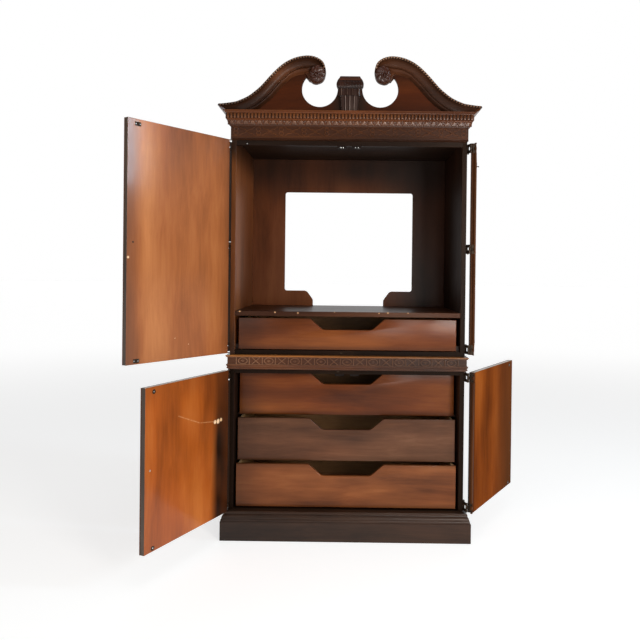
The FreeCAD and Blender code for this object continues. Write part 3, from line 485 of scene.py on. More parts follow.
def arclen(pts, step):
    """Points at even spacing along a polyline, with the unit tangents."""
    acc = [0.0]
    for a, b in zip(pts, pts[1:]):
        acc.append(acc[-1] + math.dist(a, b))
    total = acc[-1]
    n = max(2, int(round(total / step)))
    out, j = [], 0
    for i in range(n + 1):
        s = total * i / n
        while j < len(acc) - 2 and acc[j + 1] < s:
            j += 1
        f = (s - acc[j]) / max(acc[j + 1] - acc[j], 1e-9)
        p = tuple(a + (b - a) * f for a, b in zip(pts[j], pts[j + 1]))
        d = tuple(b - a for a, b in zip(pts[j], pts[j + 1]))
        l = math.hypot(*d) or 1.0
        out.append((p, tuple(c / l for c in d), s))
    return out


def clip(verts, faces, point, normal):
    """The solid cut by a plane; what lies on the normal's side goes, and the cut is closed."""
    bm = bmesh.new()
    vs = [bm.verts.new(v) for v in verts]
    for f in faces:
        try:
            bm.faces.new([vs[i] for i in f])
        except ValueError:
            pass
    bmesh.ops.recalc_face_normals(bm, faces=bm.faces)
    r = bmesh.ops.bisect_plane(bm, geom=bm.verts[:] + bm.edges[:] + bm.faces[:], dist=1e-4,
                               plane_co=point, plane_no=normal, clear_outer=True)
    edges = [e for e in bm.edges if e.is_boundary]
    if edges:
        bmesh.ops.holes_fill(bm, edges=edges, sides=0)
    bmesh.ops.remove_doubles(bm, verts=bm.verts, dist=1e-4)
    bm.verts.index_update()
    v = [tuple(x.co) for x in bm.verts]
    f = [tuple(x.index for x in q.verts) for q in bm.faces]
    bm.free()
    return v, f


def blob(seg=10, rings=6):
    """Unit sphere."""
    v, f = [(0, 0, -1)], []
    for i in range(1, rings):
        a = -math.pi / 2 + math.pi * i / rings
        for j in range(seg):
            b = 2 * math.pi * j / seg
            v.append((math.cos(a) * math.cos(b), math.cos(a) * math.sin(b), math.sin(a)))
    v.append((0, 0, 1))
    top = len(v) - 1
    for j in range(seg):
        k = (j + 1) % seg
        f.append((0, 1 + k, 1 + j))
        for i in range(rings - 2):
            f.append((1 + i * seg + j, 1 + i * seg + k, 1 + (i + 1) * seg + k, 1 + (i + 1) * seg + j))
        f.append((1 + (rings - 2) * seg + j, 1 + (rings - 2) * seg + k, top))
    return v, f


BLOB = blob()
BLOB_LOW = blob(8, 4)


def stamp(shape, places):
    """Copies of a shape; a place is (centre, x axis, y axis, z axis)."""
    verts, faces = [], []
    sv, sf = shape
    for c, ax, ay, az in places:
        o = len(verts)
        for x, y, z in sv:
            verts.append(tuple(c[i] + ax[i] * x + ay[i] * y + az[i] * z for i in range(3)))
        faces += [tuple(i + o for i in q) for q in sf]
    return verts, faces


def ribbon(pts, w, h, closed=False, sink=0.6):
    """A low strip along a flat line (u, v), as (u, v, n) vertices and faces."""
    n = len(pts)
    rings = []
    for i in range(n):
        if closed:
            a, b = pts[(i - 1) % n], pts[(i + 1) % n]
        else:
            a, b = pts[max(i - 1, 0)], pts[min(i + 1, n - 1)]
        du, dv = b[0] - a[0], b[1] - a[1]
        l = math.hypot(du, dv) or 1.0
        nu, nv = -dv / l, du / l
        k = 1.0
        if 0 < i < n - 1 or closed:
            p, q, r = pts[(i - 1) % n], pts[i], pts[(i + 1) % n]
            d1 = (q[0] - p[0], q[1] - p[1])
            l1 = math.hypot(*d1) or 1.0
            c = abs((-d1[1] / l1) * nu + (d1[0] / l1) * nv)
            k = 1.0 / max(c, 0.6)
        u, v = pts[i]
        e = w * k / 2
        rings.append([(u - nu * e, v - nv * e, -sink), (u - nu * e, v - nv * e, h * 0.45),
                      (u - nu * e * 0.55, v - nv * e * 0.55, h), (u + nu * e * 0.55, v + nv * e * 0.55, h),
                      (u + nu * e, v + nv * e, h * 0.45), (u + nu * e, v + nv * e, -sink)])
    return loft(rings, closed=closed)


def on_front(y):
    return lambda p: (p[0], y - p[2], p[1])


def on_side(sgn, x):
    return lambda p: (sgn * (x + p[2]), p[0], p[1])


def mapped(mesh, fn):
    return [fn(p) for p in mesh[0]], mesh[1]


def relief(x0, x1, z0, z1, nx, nz, p, half=None):
    """A block standing out from p = 0 whose front is the height field p(x, z); half,
    if given, is the half width at z. Returned as (x, z, p)."""
    xs = [x0 + (x1 - x0) * i / nx for i in range(nx + 1)]
    verts, faces = [], []
    for j in range(nz + 1):
        z = z0 + (z1 - z0) * j / nz
        for i, x in enumerate(xs):
            k = x
            if half is not None:
                k = (2 * i / nx - 1) * half(z)
            verts.append((k, z, p(k, z)))
    m = nx + 1
    for j in range(nz):
        for i in range(nx):
            faces.append((j * m + i, j * m + i + 1, (j + 1) * m + i + 1, (j + 1) * m + i))
    border = ([i for i in range(m)] + [j * m + nx for j in range(1, nz + 1)]
              + [nz * m + i for i in range(nx - 1, -1, -1)] + [j * m for j in range(nz - 1, 0, -1)])
    o = len(verts)
    for b in border:
        verts.append((verts[b][0], verts[b][1], 0.0))
    n = len(border)
    for i in range(n):
        k = (i + 1) % n
        faces.append((border[i], border[k], o + k, o + i))
    faces.append(tuple(o + i for i in range(n))[::-1])
    return verts, faces


def plate(loop, y0, y1, r=1.5, n=3):
    """A board with rounded arrises: the loop of (x, z) between the planes y0 < y1."""
    m = len(loop)
    area = sum(a[0] * b[1] - b[0] * a[1] for a, b in zip(loop, loop[1:] + loop[:1]))
    loop = loop if area > 0 else loop[::-1]
    norm = []
    for i in range(m):
        p, q, s = loop[i - 1], loop[i], loop[(i + 1) % m]
        d1 = (q[0] - p[0], q[1] - p[1])
        d2 = (s[0] - q[0], s[1] - q[1])
        l1, l2 = math.hypot(*d1) or 1, math.hypot(*d2) or 1
        n1, n2 = (d1[1] / l1, -d1[0] / l1), (d2[1] / l2, -d2[0] / l2)
        bx, bz = n1[0] + n2[0], n1[1] + n2[1]
        l = math.hypot(bx, bz) or 1.0
        bx, bz = bx / l, bz / l
        k = 1.0 / max(bx * n1[0] + bz * n1[1], 0.5)
        norm.append((bx * k, bz * k))
    rings = []
    for side in (0, 1):
        for i in range(n + 1):
            t = math.pi / 2 * (i if side == 0 else n - i) / n
            inset = r * (1 - math.sin(t))
            y = (y0 + r * (1 - math.cos(t))) if side == 0 else (y1 - r * (1 - math.cos(t)))
            rings.append([(a[0] - b[0] * inset, y, a[1] - b[1] * inset) for a, b in zip(loop, norm)])
    return loft(rings)


def arc(cx, cz, r, a0, a1, n):
    return [(cx + r * math.cos(math.radians(a0 + (a1 - a0) * i / n)),
             cz + r * math.sin(math.radians(a0 + (a1 - a0) * i / n))) for i in range(n + 1)]


def lathe(prof, seg=32):
    """Turned shape about the y axis; prof holds (radius, y) from tip to base."""
    verts, faces = [], []
    for r, y in prof:
        for j in range(seg):
            a = 2 * math.pi * j / seg
            verts.append((r * math.cos(a), y, r * math.sin(a)))
    for i in range(len(prof) - 1):
        for j in range(seg):
            k = (j + 1) % seg
            faces.append((i * seg + j, i * seg + k, (i + 1) * seg + k, (i + 1) * seg + j))
    faces.append(tuple(range(seg)))
    faces.append(tuple((len(prof) - 1) * seg + j for j in range(seg))[::-1])
    return verts, faces


def mitred(prof, x_face, y_face, y_in, y_back):
    """Front length and two side lengths of a moulding. prof holds (overhang, z)."""
    back = y_face - y_in
    loop = list(prof) + [(back, prof[-1][1]), (back, prof[0][1])]
    front = loft([[(s * (x_face + a), y_face - a, z) for a, z in loop] for s in (-1, 1)])
    sides = []
    for s in (-1, 1):
        sides.append(loft([[(s * (x_face + a), y_face - a, z) for a, z in loop],
                           [(s * (x_face + a), y_back, z) for a, z in loop]]))
    return front, sides


# ------------------------------------------------------------------ CAD nodes that stay


def soften(name, width=0.0012, seg=2):
    """Eased arrises on a CAD board; its own vertices stay as they are."""
    o = NODES[name]
    w = o.modifiers.new("weld", "WELD")
    w.merge_threshold = 0.00002
    b = o.modifiers.new("arris", "BEVEL")
    b.width = width
    b.segments = seg
    b.limit_method = "ANGLE"
    b.angle_limit = math.radians(40)
    b.use_clamp_overlap = True
    b.harden_normals = True
    return o


def split_faces(o, pick, mats):
    """One material per face, chosen by its normal and centre."""
    paint(o, mats)
    me = o.data
    me.polygons.foreach_set("material_index", [pick(p.normal, p.center) for p in me.polygons])


for n in ("lower_side_left", "lower_side_right", "upper_side_left", "upper_side_right"):
    o = soften(n)
    left = n.endswith("left")

    def pick(nr, c, left=left):
        if nr.y < -0.7:
            return 1
        if nr.z > 0.7:
            return 1
        inside = nr.x > 0.7 if left else nr.x < -0.7
        return 2 if inside else 0

    split_faces(o, pick, [case_side, case_front_left if n == "upper_side_left" else case_front,
                          (inner_side if n.endswith("left") else inner_right) if n.startswith("upper") else low_side])
for n in ("plinth_front", "plinth_sides"):
    paint(soften(n), [plinth_wood if n == "plinth_front" else plinth_side_wood])
paint(soften("plinth_rails"), [carcase])
for n in ("lower_bottom", "lower_top", "upper_bottom", "upper_top"):
    split_faces(soften(n), lambda nr, c: 1 if nr.y < -0.7 else 0, [rail_wood, case_front])
split_faces(soften("lower_back"), lambda nr, c: 1 if nr.y > 0.7 else 0, [inner_back, carcase_back])
split_faces(soften("upper_back", 0.0008), lambda nr, c: 1 if nr.y > 0.7 else 0, [inner_back, carcase_back])
paint(soften("waist_back_rail"), [carcase])
paint(soften("upper_top_rail"), [rail_wood])
paint(soften("tv_shelf", 0.0015, 3), [shelf_wood])
paint(soften("frieze_board", 0.0008), [frieze_wood])
paint(soften("tympanum", 0.0010), [tympanum_wood])
paint(NODES["drawer_runners"], [low_side])
paint(soften("door_catches", 0.0012), [catch_box])
paint(soften("hinge_frame_leaves", 0.0004), [bronze])

# ------------------------------------------------------------------ mouldings of base, waist, cornice
H, F, B, FF = 542.0, -260.0, 312.0, -288.0


def three(name, prof, x_face, y_face, y_in, mats, nodes):
    fr, sd = mitred(prof, x_face, y_face, y_in, B)
    make(name + "_front_profile", *fr, mats[0], replaces=(nodes[0],), angle=30)
    make(name + "_side_profile", *merge(sd), mats[1], replaces=(nodes[1],), angle=30)


def side_rows(fn, y0, y1, pitch):
    n = int(round((y1 - y0) / pitch))
    return [fn(y0 + (y1 - y0) * (i + 0.5) / n) for i in range(n)]


z = 84.0
base = [(0, z), (0, z + 3.5), (-2.5, z + 5)]
base += cove((-2.5, z + 5), (-6, z + 16), 5, -1)
base += cove((-6, z + 16), (-16, z + 32), 7, -1)[:-1]
base += [(-17, z + 33), (-18, z + 36)]
base += torus((-18, z + 36), (-18, z + 44.5), 4.2, 8)
base += [(-18.5, z + 46)]
three("plinth_ogee", base, 571, -312, F, (plinth_wood, plinth_side_wood), ("plinth_moulding_front", "plinth_moulding_sides"))

z = 779.0
waist = [(-9, z), (-9, z + 2), (-7, z + 2.5)]
waist += torus((-7, z + 2.5), (-4.5, z + 10.5), 3.6, 7)
waist += [(-4.5, z + 12), (-3.5, z + 12.5)]
waist += cove((-3.5, z + 12.5), (0, z + 18), 4, -1)
waist += [(0, z + 21.5), (-0.6, z + 22), (-5.4, z + 22.4), (-5.4, z + 56.4), (-0.6, z + 56.8)]
waist += cove((-0.6, z + 56.8), (3, z + 59.5), 4, -1)
waist += [(3, z + 62.2), (2.4, z + 63.4), (0.8, z + 64)]
three("waist_band", waist, 552, -297, F, (waist_wood, waist_side), ("waist_moulding_front", "waist_moulding_sides"))

z = 1888.0
corn = [(0.2, z)]
corn += cove((0.2, z), (6.5, z + 6), 5, 1)
corn += [(8.0, z + 6.6), (8.4, z + 8), (11.6, z + 25.6), (15.8, z + 26.2), (17.2, z + 27), (17.6, z + 29.5), (17.2, z + 32.5),
         (16.4, z + 33.2), (16.4, z + 57.0), (21.5, z + 57.4), (23.2, z + 58.4)]
corn += cove((23.2, z + 58.4), (28.6, z + 64), 5, -1)
corn += [(30, z + 64.6), (31, z + 66), (31, z + 70)]
three("cornice_bed", corn, H, FF, FF + 0.0, (carved, carved_side), ("cornice_front", "cornice_sides"))

# carved rows on the cornice: dentils above, leaf and dart below
carved_dent = wood("dentil_mahogany", lin(35, 17, 7), lin(77, 43, 20), lin(112, 68, 35), "X", (0.3, 1.2, 0.7), tone=0.6,
                   figure=0.15, streak=0.4, coat=0.35, coat_rough=0.2)
PITCH = 15.78


def dentil(w, h, d, r):
    """Block with eased arrises, from p = 0 to d, centred in w and h."""
    rings = []
    for p, e in ((-0.5, 0), (d - r, 0), (d - r * 0.3, r * 0.3), (d, r)):
        a, b = w / 2 - e, h / 2 - e
        rings.append([(-a, -b, p), (a, -b, p), (a, b, p), (-a, b, p)])
    return loft(rings)


DENT = dentil(8.6, 22.6, 7.0, 1.3)
# a dark strip set behind the dentils: painted shade in the gaps between them
v, f = plate([(-(H + 16.6), z + 33.4), (H + 16.6, z + 33.4), (H + 16.6, z + 56.8), (-(H + 16.6), z + 56.8)], FF - 16.8, FF - 15.0, 0.2, 1)
make("cornice_dentil_ground", v, f, strip_dark, slot="dark_mahogany")
zc = z + 45.2
fronts = [((k * PITCH, FF - 16.4, zc), (1, 0, 0), (0, 0, 1), (0, -1, 0)) for k in range(-35, 36)]
make("cornice_dentils_front", *stamp(DENT, fronts), carved_dent, slot="dark_mahogany")
rs = []
for s in (-1, 1):
    y = FF - 6.0
    while y < B - 5:
        rs.append(((s * (H + 16.4), y, zc), (0, 1, 0), (0, 0, 1), (s, 0, 0)))
        y += PITCH
make("cornice_dentils_side", *stamp(DENT, rs), carved_side, slot="dark_mahogany")


def leaf_dart(u, v):
    """Height of the leaf-and-dart carving over its ground; u in mm along it."""
    P2 = 2 * PITCH
    a = abs((u + PITCH) % P2 - PITCH)
    gc = 8.0 + 7.6 * (1 - v)
    d = a - gc
    g = -2.6 * math.exp(-(d / 1.7) ** 2)
    if d < 0:
        k = a / gc
        h = 1.0 + 3.2 * (1 - k ** 1.6) * (0.35 + 0.65 * v) + 1.0 * math.exp(-((k - 0.62) / 0.2) ** 2) * (1 - v)
        if k < 0.12:
            h -= 0.7 * (1 - v) * (1 - k / 0.12)
    else:
        w = max(7.6 * v, 0.5)
        h = 0.9 + 1.9 * v * max(0.0, 1 - (PITCH - a) / w)
    env = min(1.0, v / 0.10, (1 - v) / 0.08)
    return (h + g) * (0.35 + 0.65 * max(0.0, env))


def leaf_p(u, v):
    return 8.2 + 3.2 * v + leaf_dart(u, v)


lz0, lz1 = z + 6.8, z + 26.2
lf = relief(-555, 555, lz0, lz1, 1008, 15, lambda x, zz: leaf_p(x, (zz - lz0) / (lz1 - lz0)))
make("cornice_leaf_and_dart_front", *mapped(lf, on_front(FF)), carved_top, slot="dark_mahogany", angle=60)
ls = relief(-300.5, B, lz0, lz1, 556, 15, lambda y, zz: leaf_p(y - FF + 10, (zz - lz0) / (lz1 - lz0)))
make("cornice_leaf_and_dart_side", *merge([mapped(ls, on_side(s, H)) for s in (-1, 1)]), carved_side, slot="dark_mahogany", angle=60)

# ------------------------------------------------------------------ frets


def ellipse(cx, cz, rx, rz, n=36):
    return [(cx + rx * math.cos(2 * math.pi * i / n), cz + rz * math.sin(2 * math.pi * i / n)) for i in range(n)]


def waist_fret(u0, u1, first, cz, h):
    """Ovals and saltires between upright bars; first is the middle of one oval."""
    P, hz_, out = 119.0, 16.4, []
    out.append(ribbon([(u0, cz - hz_), (u1, cz - hz_)], 2.2, h * 0.9))
    out.append(ribbon([(u0, cz + hz_), (u1, cz + hz_)], 2.2, h * 0.9))
    k = -12
    while True:
        c = first + k * P / 2
        if c - 20 > u1:
            break
        if c - 16 > u0 and c + 16 < u1:
            if k % 2 == 0:
                out.append(ribbon(ellipse(c, cz, 20.4, 13.8), 3.8, h, closed=True))
                out.append(ribbon([(c - 6.0, cz), (c, cz + 3.4), (c + 6.0, cz), (c, cz - 3.4)], 2.6, h * 0.6, closed=True))
            else:
                out.append(ribbon([(c - 18, cz - 15.4), (c + 18, cz + 15.4)], 3.9, h))
                out.append(ribbon([(c - 18, cz + 15.4), (c + 18, cz - 15.4)], 3.9, h * 0.96))
        b = c + P / 4
        if u0 + 3 < b < u1 - 3:
            out.append(ribbon([(b, cz - 15.8), (b, cz + 15.8)], 4.2, h))
        k += 1
    return merge(out)


# a dark board behind the waist fret: painted shade on the fret's ground
v, f = plate([(-546.5, 801.6), (546.5, 801.6), (546.5, 835.2), (-546.5, 835.2)], -292.0, -290.6, 0.2, 1)
make("waist_fret_ground", v, f, waist_ground, slot="dark_mahogany")
wf = waist_fret(-549, 549, 0.0, 818.4, 5.0)
make("waist_fret_front", *mapped(wf, on_front(-291.6)), waist_light, slot="dark_mahogany")
ws = waist_fret(-294, 310, -221.0, 818.4, 5.0)
make("waist_fret_side", *merge([mapped(ws, on_side(s, 546.6)) for s in (-1, 1)]), waist_side, slot="dark_mahogany")


def frieze_fret(u0, u1, cz, h):
    """Upright pairs of rings, with a flattened lozenge on crossing strips between."""
    P, hz_, out = 104.0, 22.0, []
    out.append(ribbon([(u0, cz - hz_ - 0.6), (u1, cz - hz_ - 0.6)], 2.6, h))
    out.append(ribbon([(u0, cz + hz_ - 0.2), (u1, cz + hz_ - 0.2)], 2.6, h))
    for k in range(-5, 6):
        c = k * P
        out.append(ribbon(ellipse(c, cz + 8.6, 9.4, 8.2, 28), 4.6, h, closed=True))
        out.append(ribbon(ellipse(c, cz - 8.6, 9.4, 8.2, 28), 4.6, h * 0.97, closed=True))
        for s in (-1, 1):
            out.append(ribbon([(c - 7.5, cz + s * 21.6), (c, cz + s * 16.6), (c + 7.5, cz + s * 21.6)], 4.0, h * 0.9))
    for k in range(-5, 5):
        c = (k + 0.5) * P
        a = [(-37, 21.4), (-21, 9.8), (-9, 7.4), (0, 0.6), (9, -7.4), (21, -9.8), (37, -21.4)]
        out.append(ribbon(catmull([(c + x, cz + zz) for x, zz in a], 3), 4.6, h))
        out.append(ribbon(catmull([(c + x, cz - zz) for x, zz in a], 3), 4.6, h * 0.97))
        out.append(ribbon([(c - 11, cz), (c, cz + 3.2), (c + 11, cz), (c, cz - 3.2)], 3.4, h * 1.02, closed=True))
    return merge(out)


ff = frieze_fret(-540, 540, 1866.6, 2.2)
make("frieze_fret", *mapped(ff, on_front(FF)), frieze_light, slot="dark_mahogany")
bd = loft([[(s * 541, FF - 0.0, 1830.2), (s * 541, FF - 2.2, 1830.2), (s * 541, FF - 3.0, 1831.4), (s * 541, FF - 3.0, 1833.0),
            (s * 541, FF - 2.0, 1834.2), (s * 541, FF + 0.4, 1834.6)] for s in (-1, 1)])
make("frieze_lower_bead", *bd, carved_top, slot="dark_mahogany")

# ------------------------------------------------------------------ swan necks
NECK = [(596, 1979), (561, 1982), (516, 1989), (494, 1997), (471, 2007), (449, 2020),
        (427, 2037), (404, 2057), (382, 2081), (359, 2107), (336, 2131), (314, 2151),
        (291, 2168), (269, 2180), (247, 2189), (224, 2195), (202, 2198), (179, 2198),
        (157, 2194), (136, 2185), (121, 2172), (113, 2153), (110, 2133), (114, 2113),
        (124, 2096), (137, 2085), (152, 2080), (167, 2082), (179, 2091)]
INNER_LINE = {12: (266, 2111), 13: (250, 2118), 14: (236, 2123), 15: (220, 2126), 16: (203, 2128), 17: (186, 2132),
              18: (168, 2138), 19: (152, 2140), 20: (140, 2138), 21: (134, 2133), 22: (132, 2125), 23: (133, 2114),
              24: (138, 2107), 25: (145, 2102), 26: (153, 2100), 27: (161, 2103), 28: (169, 2109)}
pairs = []
for i, p in enumerate(NECK):
    a, b = NECK[max(i - 1, 0)], NECK[min(i + 1, len(NECK) - 1)]
    t = (b[0] - a[0], b[1] - a[1])
    n = math.hypot(*t)
    q = INNER_LINE.get(i, (p[0] - 62 * t[1] / n, p[1] + 62 * t[0] / n))
    f = 1.0 if i < 18 else max(0.60, 1.0 - 0.08 * (i - 17))
    mixb = min(1.0, max(0.0, (i - 11) / 4.0))
    pairs.append((p[0], p[1], q[0], q[1], f, mixb))
pairs = [(640, 1976, 640, 1914, 1.0, 0.0)] + pairs
pairs = catmull(pairs, 8)


def crown_profile(k):
    """(share of the width, projection); k blends from the neck to the crest."""
    out = [(0.0, 0.0), (0.0, 46.5), (0.004, 48.0), (0.018, 49.2), (0.115, 49.2), (0.135, 48.0), (0.14, 45.4), (0.15, 45.0)]
    for i in range(1, 11):
        t = math.pi / 2 * i / 10
        a = 0.15 + (0.50 - 0.10 * k) * (1 - math.cos(t))
        b = 45.0 - (27.0 + 4.0 * k) * math.sin(t)
        out.append((a, b))
    a0, b0 = out[-1]
    out.append((a0 + 0.015, b0 - 2.6))
    a1, top = a0 + 0.03, 9.5 + 4.0 * k
    for i in range(0, 11):
        t = i / 10
        out.append((a1 + (0.975 - a1) * t, (b0 - 3.0) * (1 - t) + 4.0 * t + top * math.sin(math.pi * t ** 0.85)))
    out += [(1.0, 2.0), (1.0, 0.0)]
    return out


rings = []
for x0, z0, x1, z1, f, k in pairs:
    rings.append([(x0 + (x1 - x0) * a, FF - b * f, z0 + (z1 - z0) * a) for a, b in crown_profile(k)])
sweep = loft(rings)
sweep = clip(*sweep, (0, 0, 1958.0), (0, 0, -1))
sweep = clip(*sweep, (H, FF, 0), (1, 1, 0))
# pedestal under the rosette, and the web that joins it to the board
ped = plate([(148.5 + 36.0 * math.cos(2 * math.pi * i / 48), 2120 + 38.6 * math.sin(2 * math.pi * i / 48)) for i in range(48)],
            FF - 30.6, FF - 0.2, 1.2, 2)
web = plate([(150, 2096), (172, 2092), (181, 2093), (190, 2104), (196, 2122), (206, 2130), (190, 2140), (150, 2140)], FF - 14, FF - 0.2, 1.5, 2)
# rope cut into the top fillet
rope = []
for (p, t, s) in arclen(catmull(NECK[:22], 10), 13.2):
    if p[0] > 590:
        continue
    nx, nz_ = -t[1], t[0]
    ax = (t[0] * 4.4 + nx * 3.0, 0, t[1] * 4.4 + nz_ * 3.0)
    az = (nx * 3.7 - t[0] * 1.9, 0, nz_ * 3.7 - t[1] * 1.9)
    dp = 0.0 if p[0] > 150 else (150 - p[0]) * 0.30
    rope.append(((p[0] + nx * 4.6, FF - 48.6 + dp, p[1] + nz_ * 4.6), ax, (0, -4.8, 0), az))
rope = stamp(BLOB, rope)
crown = merge([sweep, ped, web])
for s, tag in ((1, "right"), (-1, "left")):
    for part, pn, mt in ((crown, "swan_neck_", crown_wood), (rope, "rope_edge_", rope_wood)):
        v = [(s * x, y, zz) for x, y, zz in part[0]]
        f = part[1] if s > 0 else [tuple(reversed(q)) for q in part[1]]
        if part is crown:
            make(pn + tag, v, f, mt, replaces=("crown_" + tag,), angle=34)
        else:
            make(pn + tag, v, f, mt, slot="dark_mahogany", angle=60)

# side returns of the crown
zf = 1958.0
ret = [(31, zf), (33, zf)]
ret += cove((33, zf), (45, zf + 11), 7, 1)
ret += [(45.5, zf + 12.5), (49.6, zf + 12.8), (49.6, zf + 20.6), (48.6, zf + 21)]
loopr = ret + [(0, zf + 21), (0, zf)]
rr = []
for s in (-1, 1):
    rr.append(loft([[(s * (H + a), FF - a, b) for a, b in loopr], [(s * (H + a), B, b) for a, b in loopr]]))
    rr.append(stamp(BLOB_LOW, side_rows(lambda y: ((s * (H + 49.2), y, zf + 16.7), (0, 5.6, 2.4), (s * 4.4, 0, 0), (0, -1.2, 3.2)),
                                        FF - 47, B - 1, 11.6)))
make("crown_return_moulding", *merge(rr), carved_side, replaces=("crown_returns",), angle=30)

# ------------------------------------------------------------------ rosettes
CX, CZ, RA, RB = 147.5, 2121.0, 36.0, 39.0


def rosette():
    nr, nt = 40, 160
    verts, faces = [], []
    for i in range(nr + 1):
        r = i / nr
        for j in range(nt):
            th = 2 * math.pi * j / nt
            # petals wind round the eye, broad at the rim
            ph = 8 * (th + 1.15 * (1 - r) ** 1.3)
            petal = abs(math.cos(ph / 2)) ** 0.65
            rib = 0.5 + 0.5 * math.cos(2 * ph)
            e = max(0.0, (r - 0.15) / 0.85)
            ox, oz = 8.5 * (1 - r) ** 1.3, -6.5 * (1 - r) ** 1.3
            edge = 1.0 - 0.05 * (1 - petal) * r * r
            x = CX + ox + RA * r * edge * math.cos(th)
            zz = CZ + oz + RB * r * edge * math.sin(th)
            dome = 13.5 * math.sqrt(max(0.0, 1 - (0.96 * r) ** 2.6))
            h = 1.2 + dome + 4.0 * (petal - 0.62) * min(1.0, e * 2.2) * (0.4 + 0.6 * r) + 0.3 * rib * e
            if r < 0.15:
                h = 16.6 + 4.2 * math.sqrt(max(0.0, 1 - (r / 0.15) ** 2))
            else:
                h -= 3.0 * math.exp(-((r - 0.19) / 0.035) ** 2)
                h += 1.6 * math.exp(-((r - 0.29) / 0.05) ** 2)
                h -= 1.5 * math.exp(-((r - 0.38) / 0.03) ** 2)
            if i == nr:
                h = 0.0
            verts.append((x, FF - 30.0 - min(h, 21.6), zz))
    for i in range(nr):
        for j in range(nt):
            k = (j + 1) % nt
            faces.append((i * nt + j, i * nt + k, (i + 1) * nt + k, (i + 1) * nt + j))
    faces.append(tuple(range(nt))[::-1])
    faces.append(tuple(nr * nt + j for j in range(nt)))
    return verts, faces


ro = rosette()
both = merge([ro, ([(-x, y, zz) for x, y, zz in ro[0]], [tuple(reversed(q)) for q in ro[1]])])
make("carved_rosettes", *both, rosette_wood, replaces=("rosettes",), angle=60)

# ------------------------------------------------------------------ middle bracket


def low_flutes(x, zz):
    """Four hollow flutes between thin arrises, opening a little to the top."""
    t = (zz - 1958) / 68.0
    u = abs(((x / (37.5 + 4.5 * t) + 1) * 2 + 0.5) % 1.0 - 0.5)
    return 25.1 - 8.5 * math.sqrt(max(0.0, 1 - ((0.5 - u) / 0.455) ** 2)) + 0.8 * t


def flutes(x, zz):
    u = abs(((x / 26.0 + 0.5) % 1.0) - 0.5) * 26.0
    g = 8.0 * math.sqrt(max(0.0, 1 - (u / 12.0) ** 2))
    return 28.6 - g


EAR = catmull([(51.6, 2058), (56.4, 2062), (60.6, 2069), (61.6, 2078), (59.6, 2088), (54.6, 2098), (47.8, 2107), (45.6, 2112.8)], 6)


def ear(zz):
    for (a, b), (c, d) in zip(EAR, EAR[1:]):
        if b <= zz <= d:
            return a + (c - a) * (zz - b) / max(d - b, 1e-6)
    return EAR[-1][0]


def roll(x, zz):
    # a gadrooned roll below, and a plain top that leans back
    if zz < 2093:
        a = (zz - 2077) / 20.0
        p = 23.5 + 9.6 * math.sqrt(max(0.0, 1 - a * a)) ** 0.8
        u = (x / ear(zz) + 1) / 2 * 17
        p -= 2.2 * (1 - abs(math.sin(math.pi * u)) ** 0.5) * max(0.0, 1 - abs(a)) ** 0.3
    elif zz < 2095:
        p = 28.5
    else:
        p = 31.5 - 3.5 * ((zz - 2095) / 18.0) ** 1.2
    side = max(0.0, (abs(x) / ear(zz) - 0.86) / 0.14)
    return min(p - 3.5 * side ** 2, 33.9)


shaft = relief(-1, 1, 1958, 2026.4, 176, 14, low_flutes, lambda zz: 36.5 + 5.0 * (zz - 1958) / 68.0)
tier = relief(-1, 1, 2026, 2058.4, 160, 40, flutes, lambda zz: 51.6 - (0.8 if zz < 2028 or zz > 2056 else 0.0))
cap = relief(-1, 1, 2058, 2112.8, 170, 84, roll, ear)
on = lambda q: mapped(q, lambda p: (p[0], FF - p[2], p[1]))
make("bracket_cap", *on(cap), bracket_wood, replaces=("keystone_bracket",), angle=40)
make("bracket_upper_flutes", *on(tier), flute_top, slot="dark_mahogany", angle=40)
make("bracket_lower_flutes", *on(shaft), flute_low, slot="dark_mahogany", angle=40)

# ------------------------------------------------------------------ doors
PX, PY = 554.0, -286.0
DOORS = {
    "upper_left_door": (1, 126.3, 854.0, 970.0),
    "upper_right_door": (-1, 259.1, 854.0, 970.0),
    "lower_left_door": (1, 115.3, 132.0, 644.0),
    "lower_right_door": (-1, 238.3, 132.0, 644.0),
}
E, W = 13.0, 540.0


def veneer(name, sgn, turn, pin, seed, tones, spots=(), scratch=(), shade=(), **kw):
    """The door's own coordinates: x from the hinge pin, z from its lower edge."""
    c, s = math.cos(-turn), math.sin(-turn)
    px, py, pz = pin
    loc = (-(c * px - s * py), -(s * px + c * py), -pz)
    return wood(name, *tones, "Z", seed, local=(loc, -turn), spots=spots, scratch=scratch, shade=shade, **kw)


INNER = (lin(90, 47, 22), lin(152, 88, 45), lin(188, 121, 70))
INNER_LOW = (lin(94, 42, 11), lin(163, 82, 27), lin(194, 113, 50))
INNER_RIGHT = (lin(74, 34, 6), lin(134, 72, 18), lin(164, 98, 34))
INNER_RED = (lin(72, 30, 6), lin(130, 64, 18), lin(160, 88, 33))
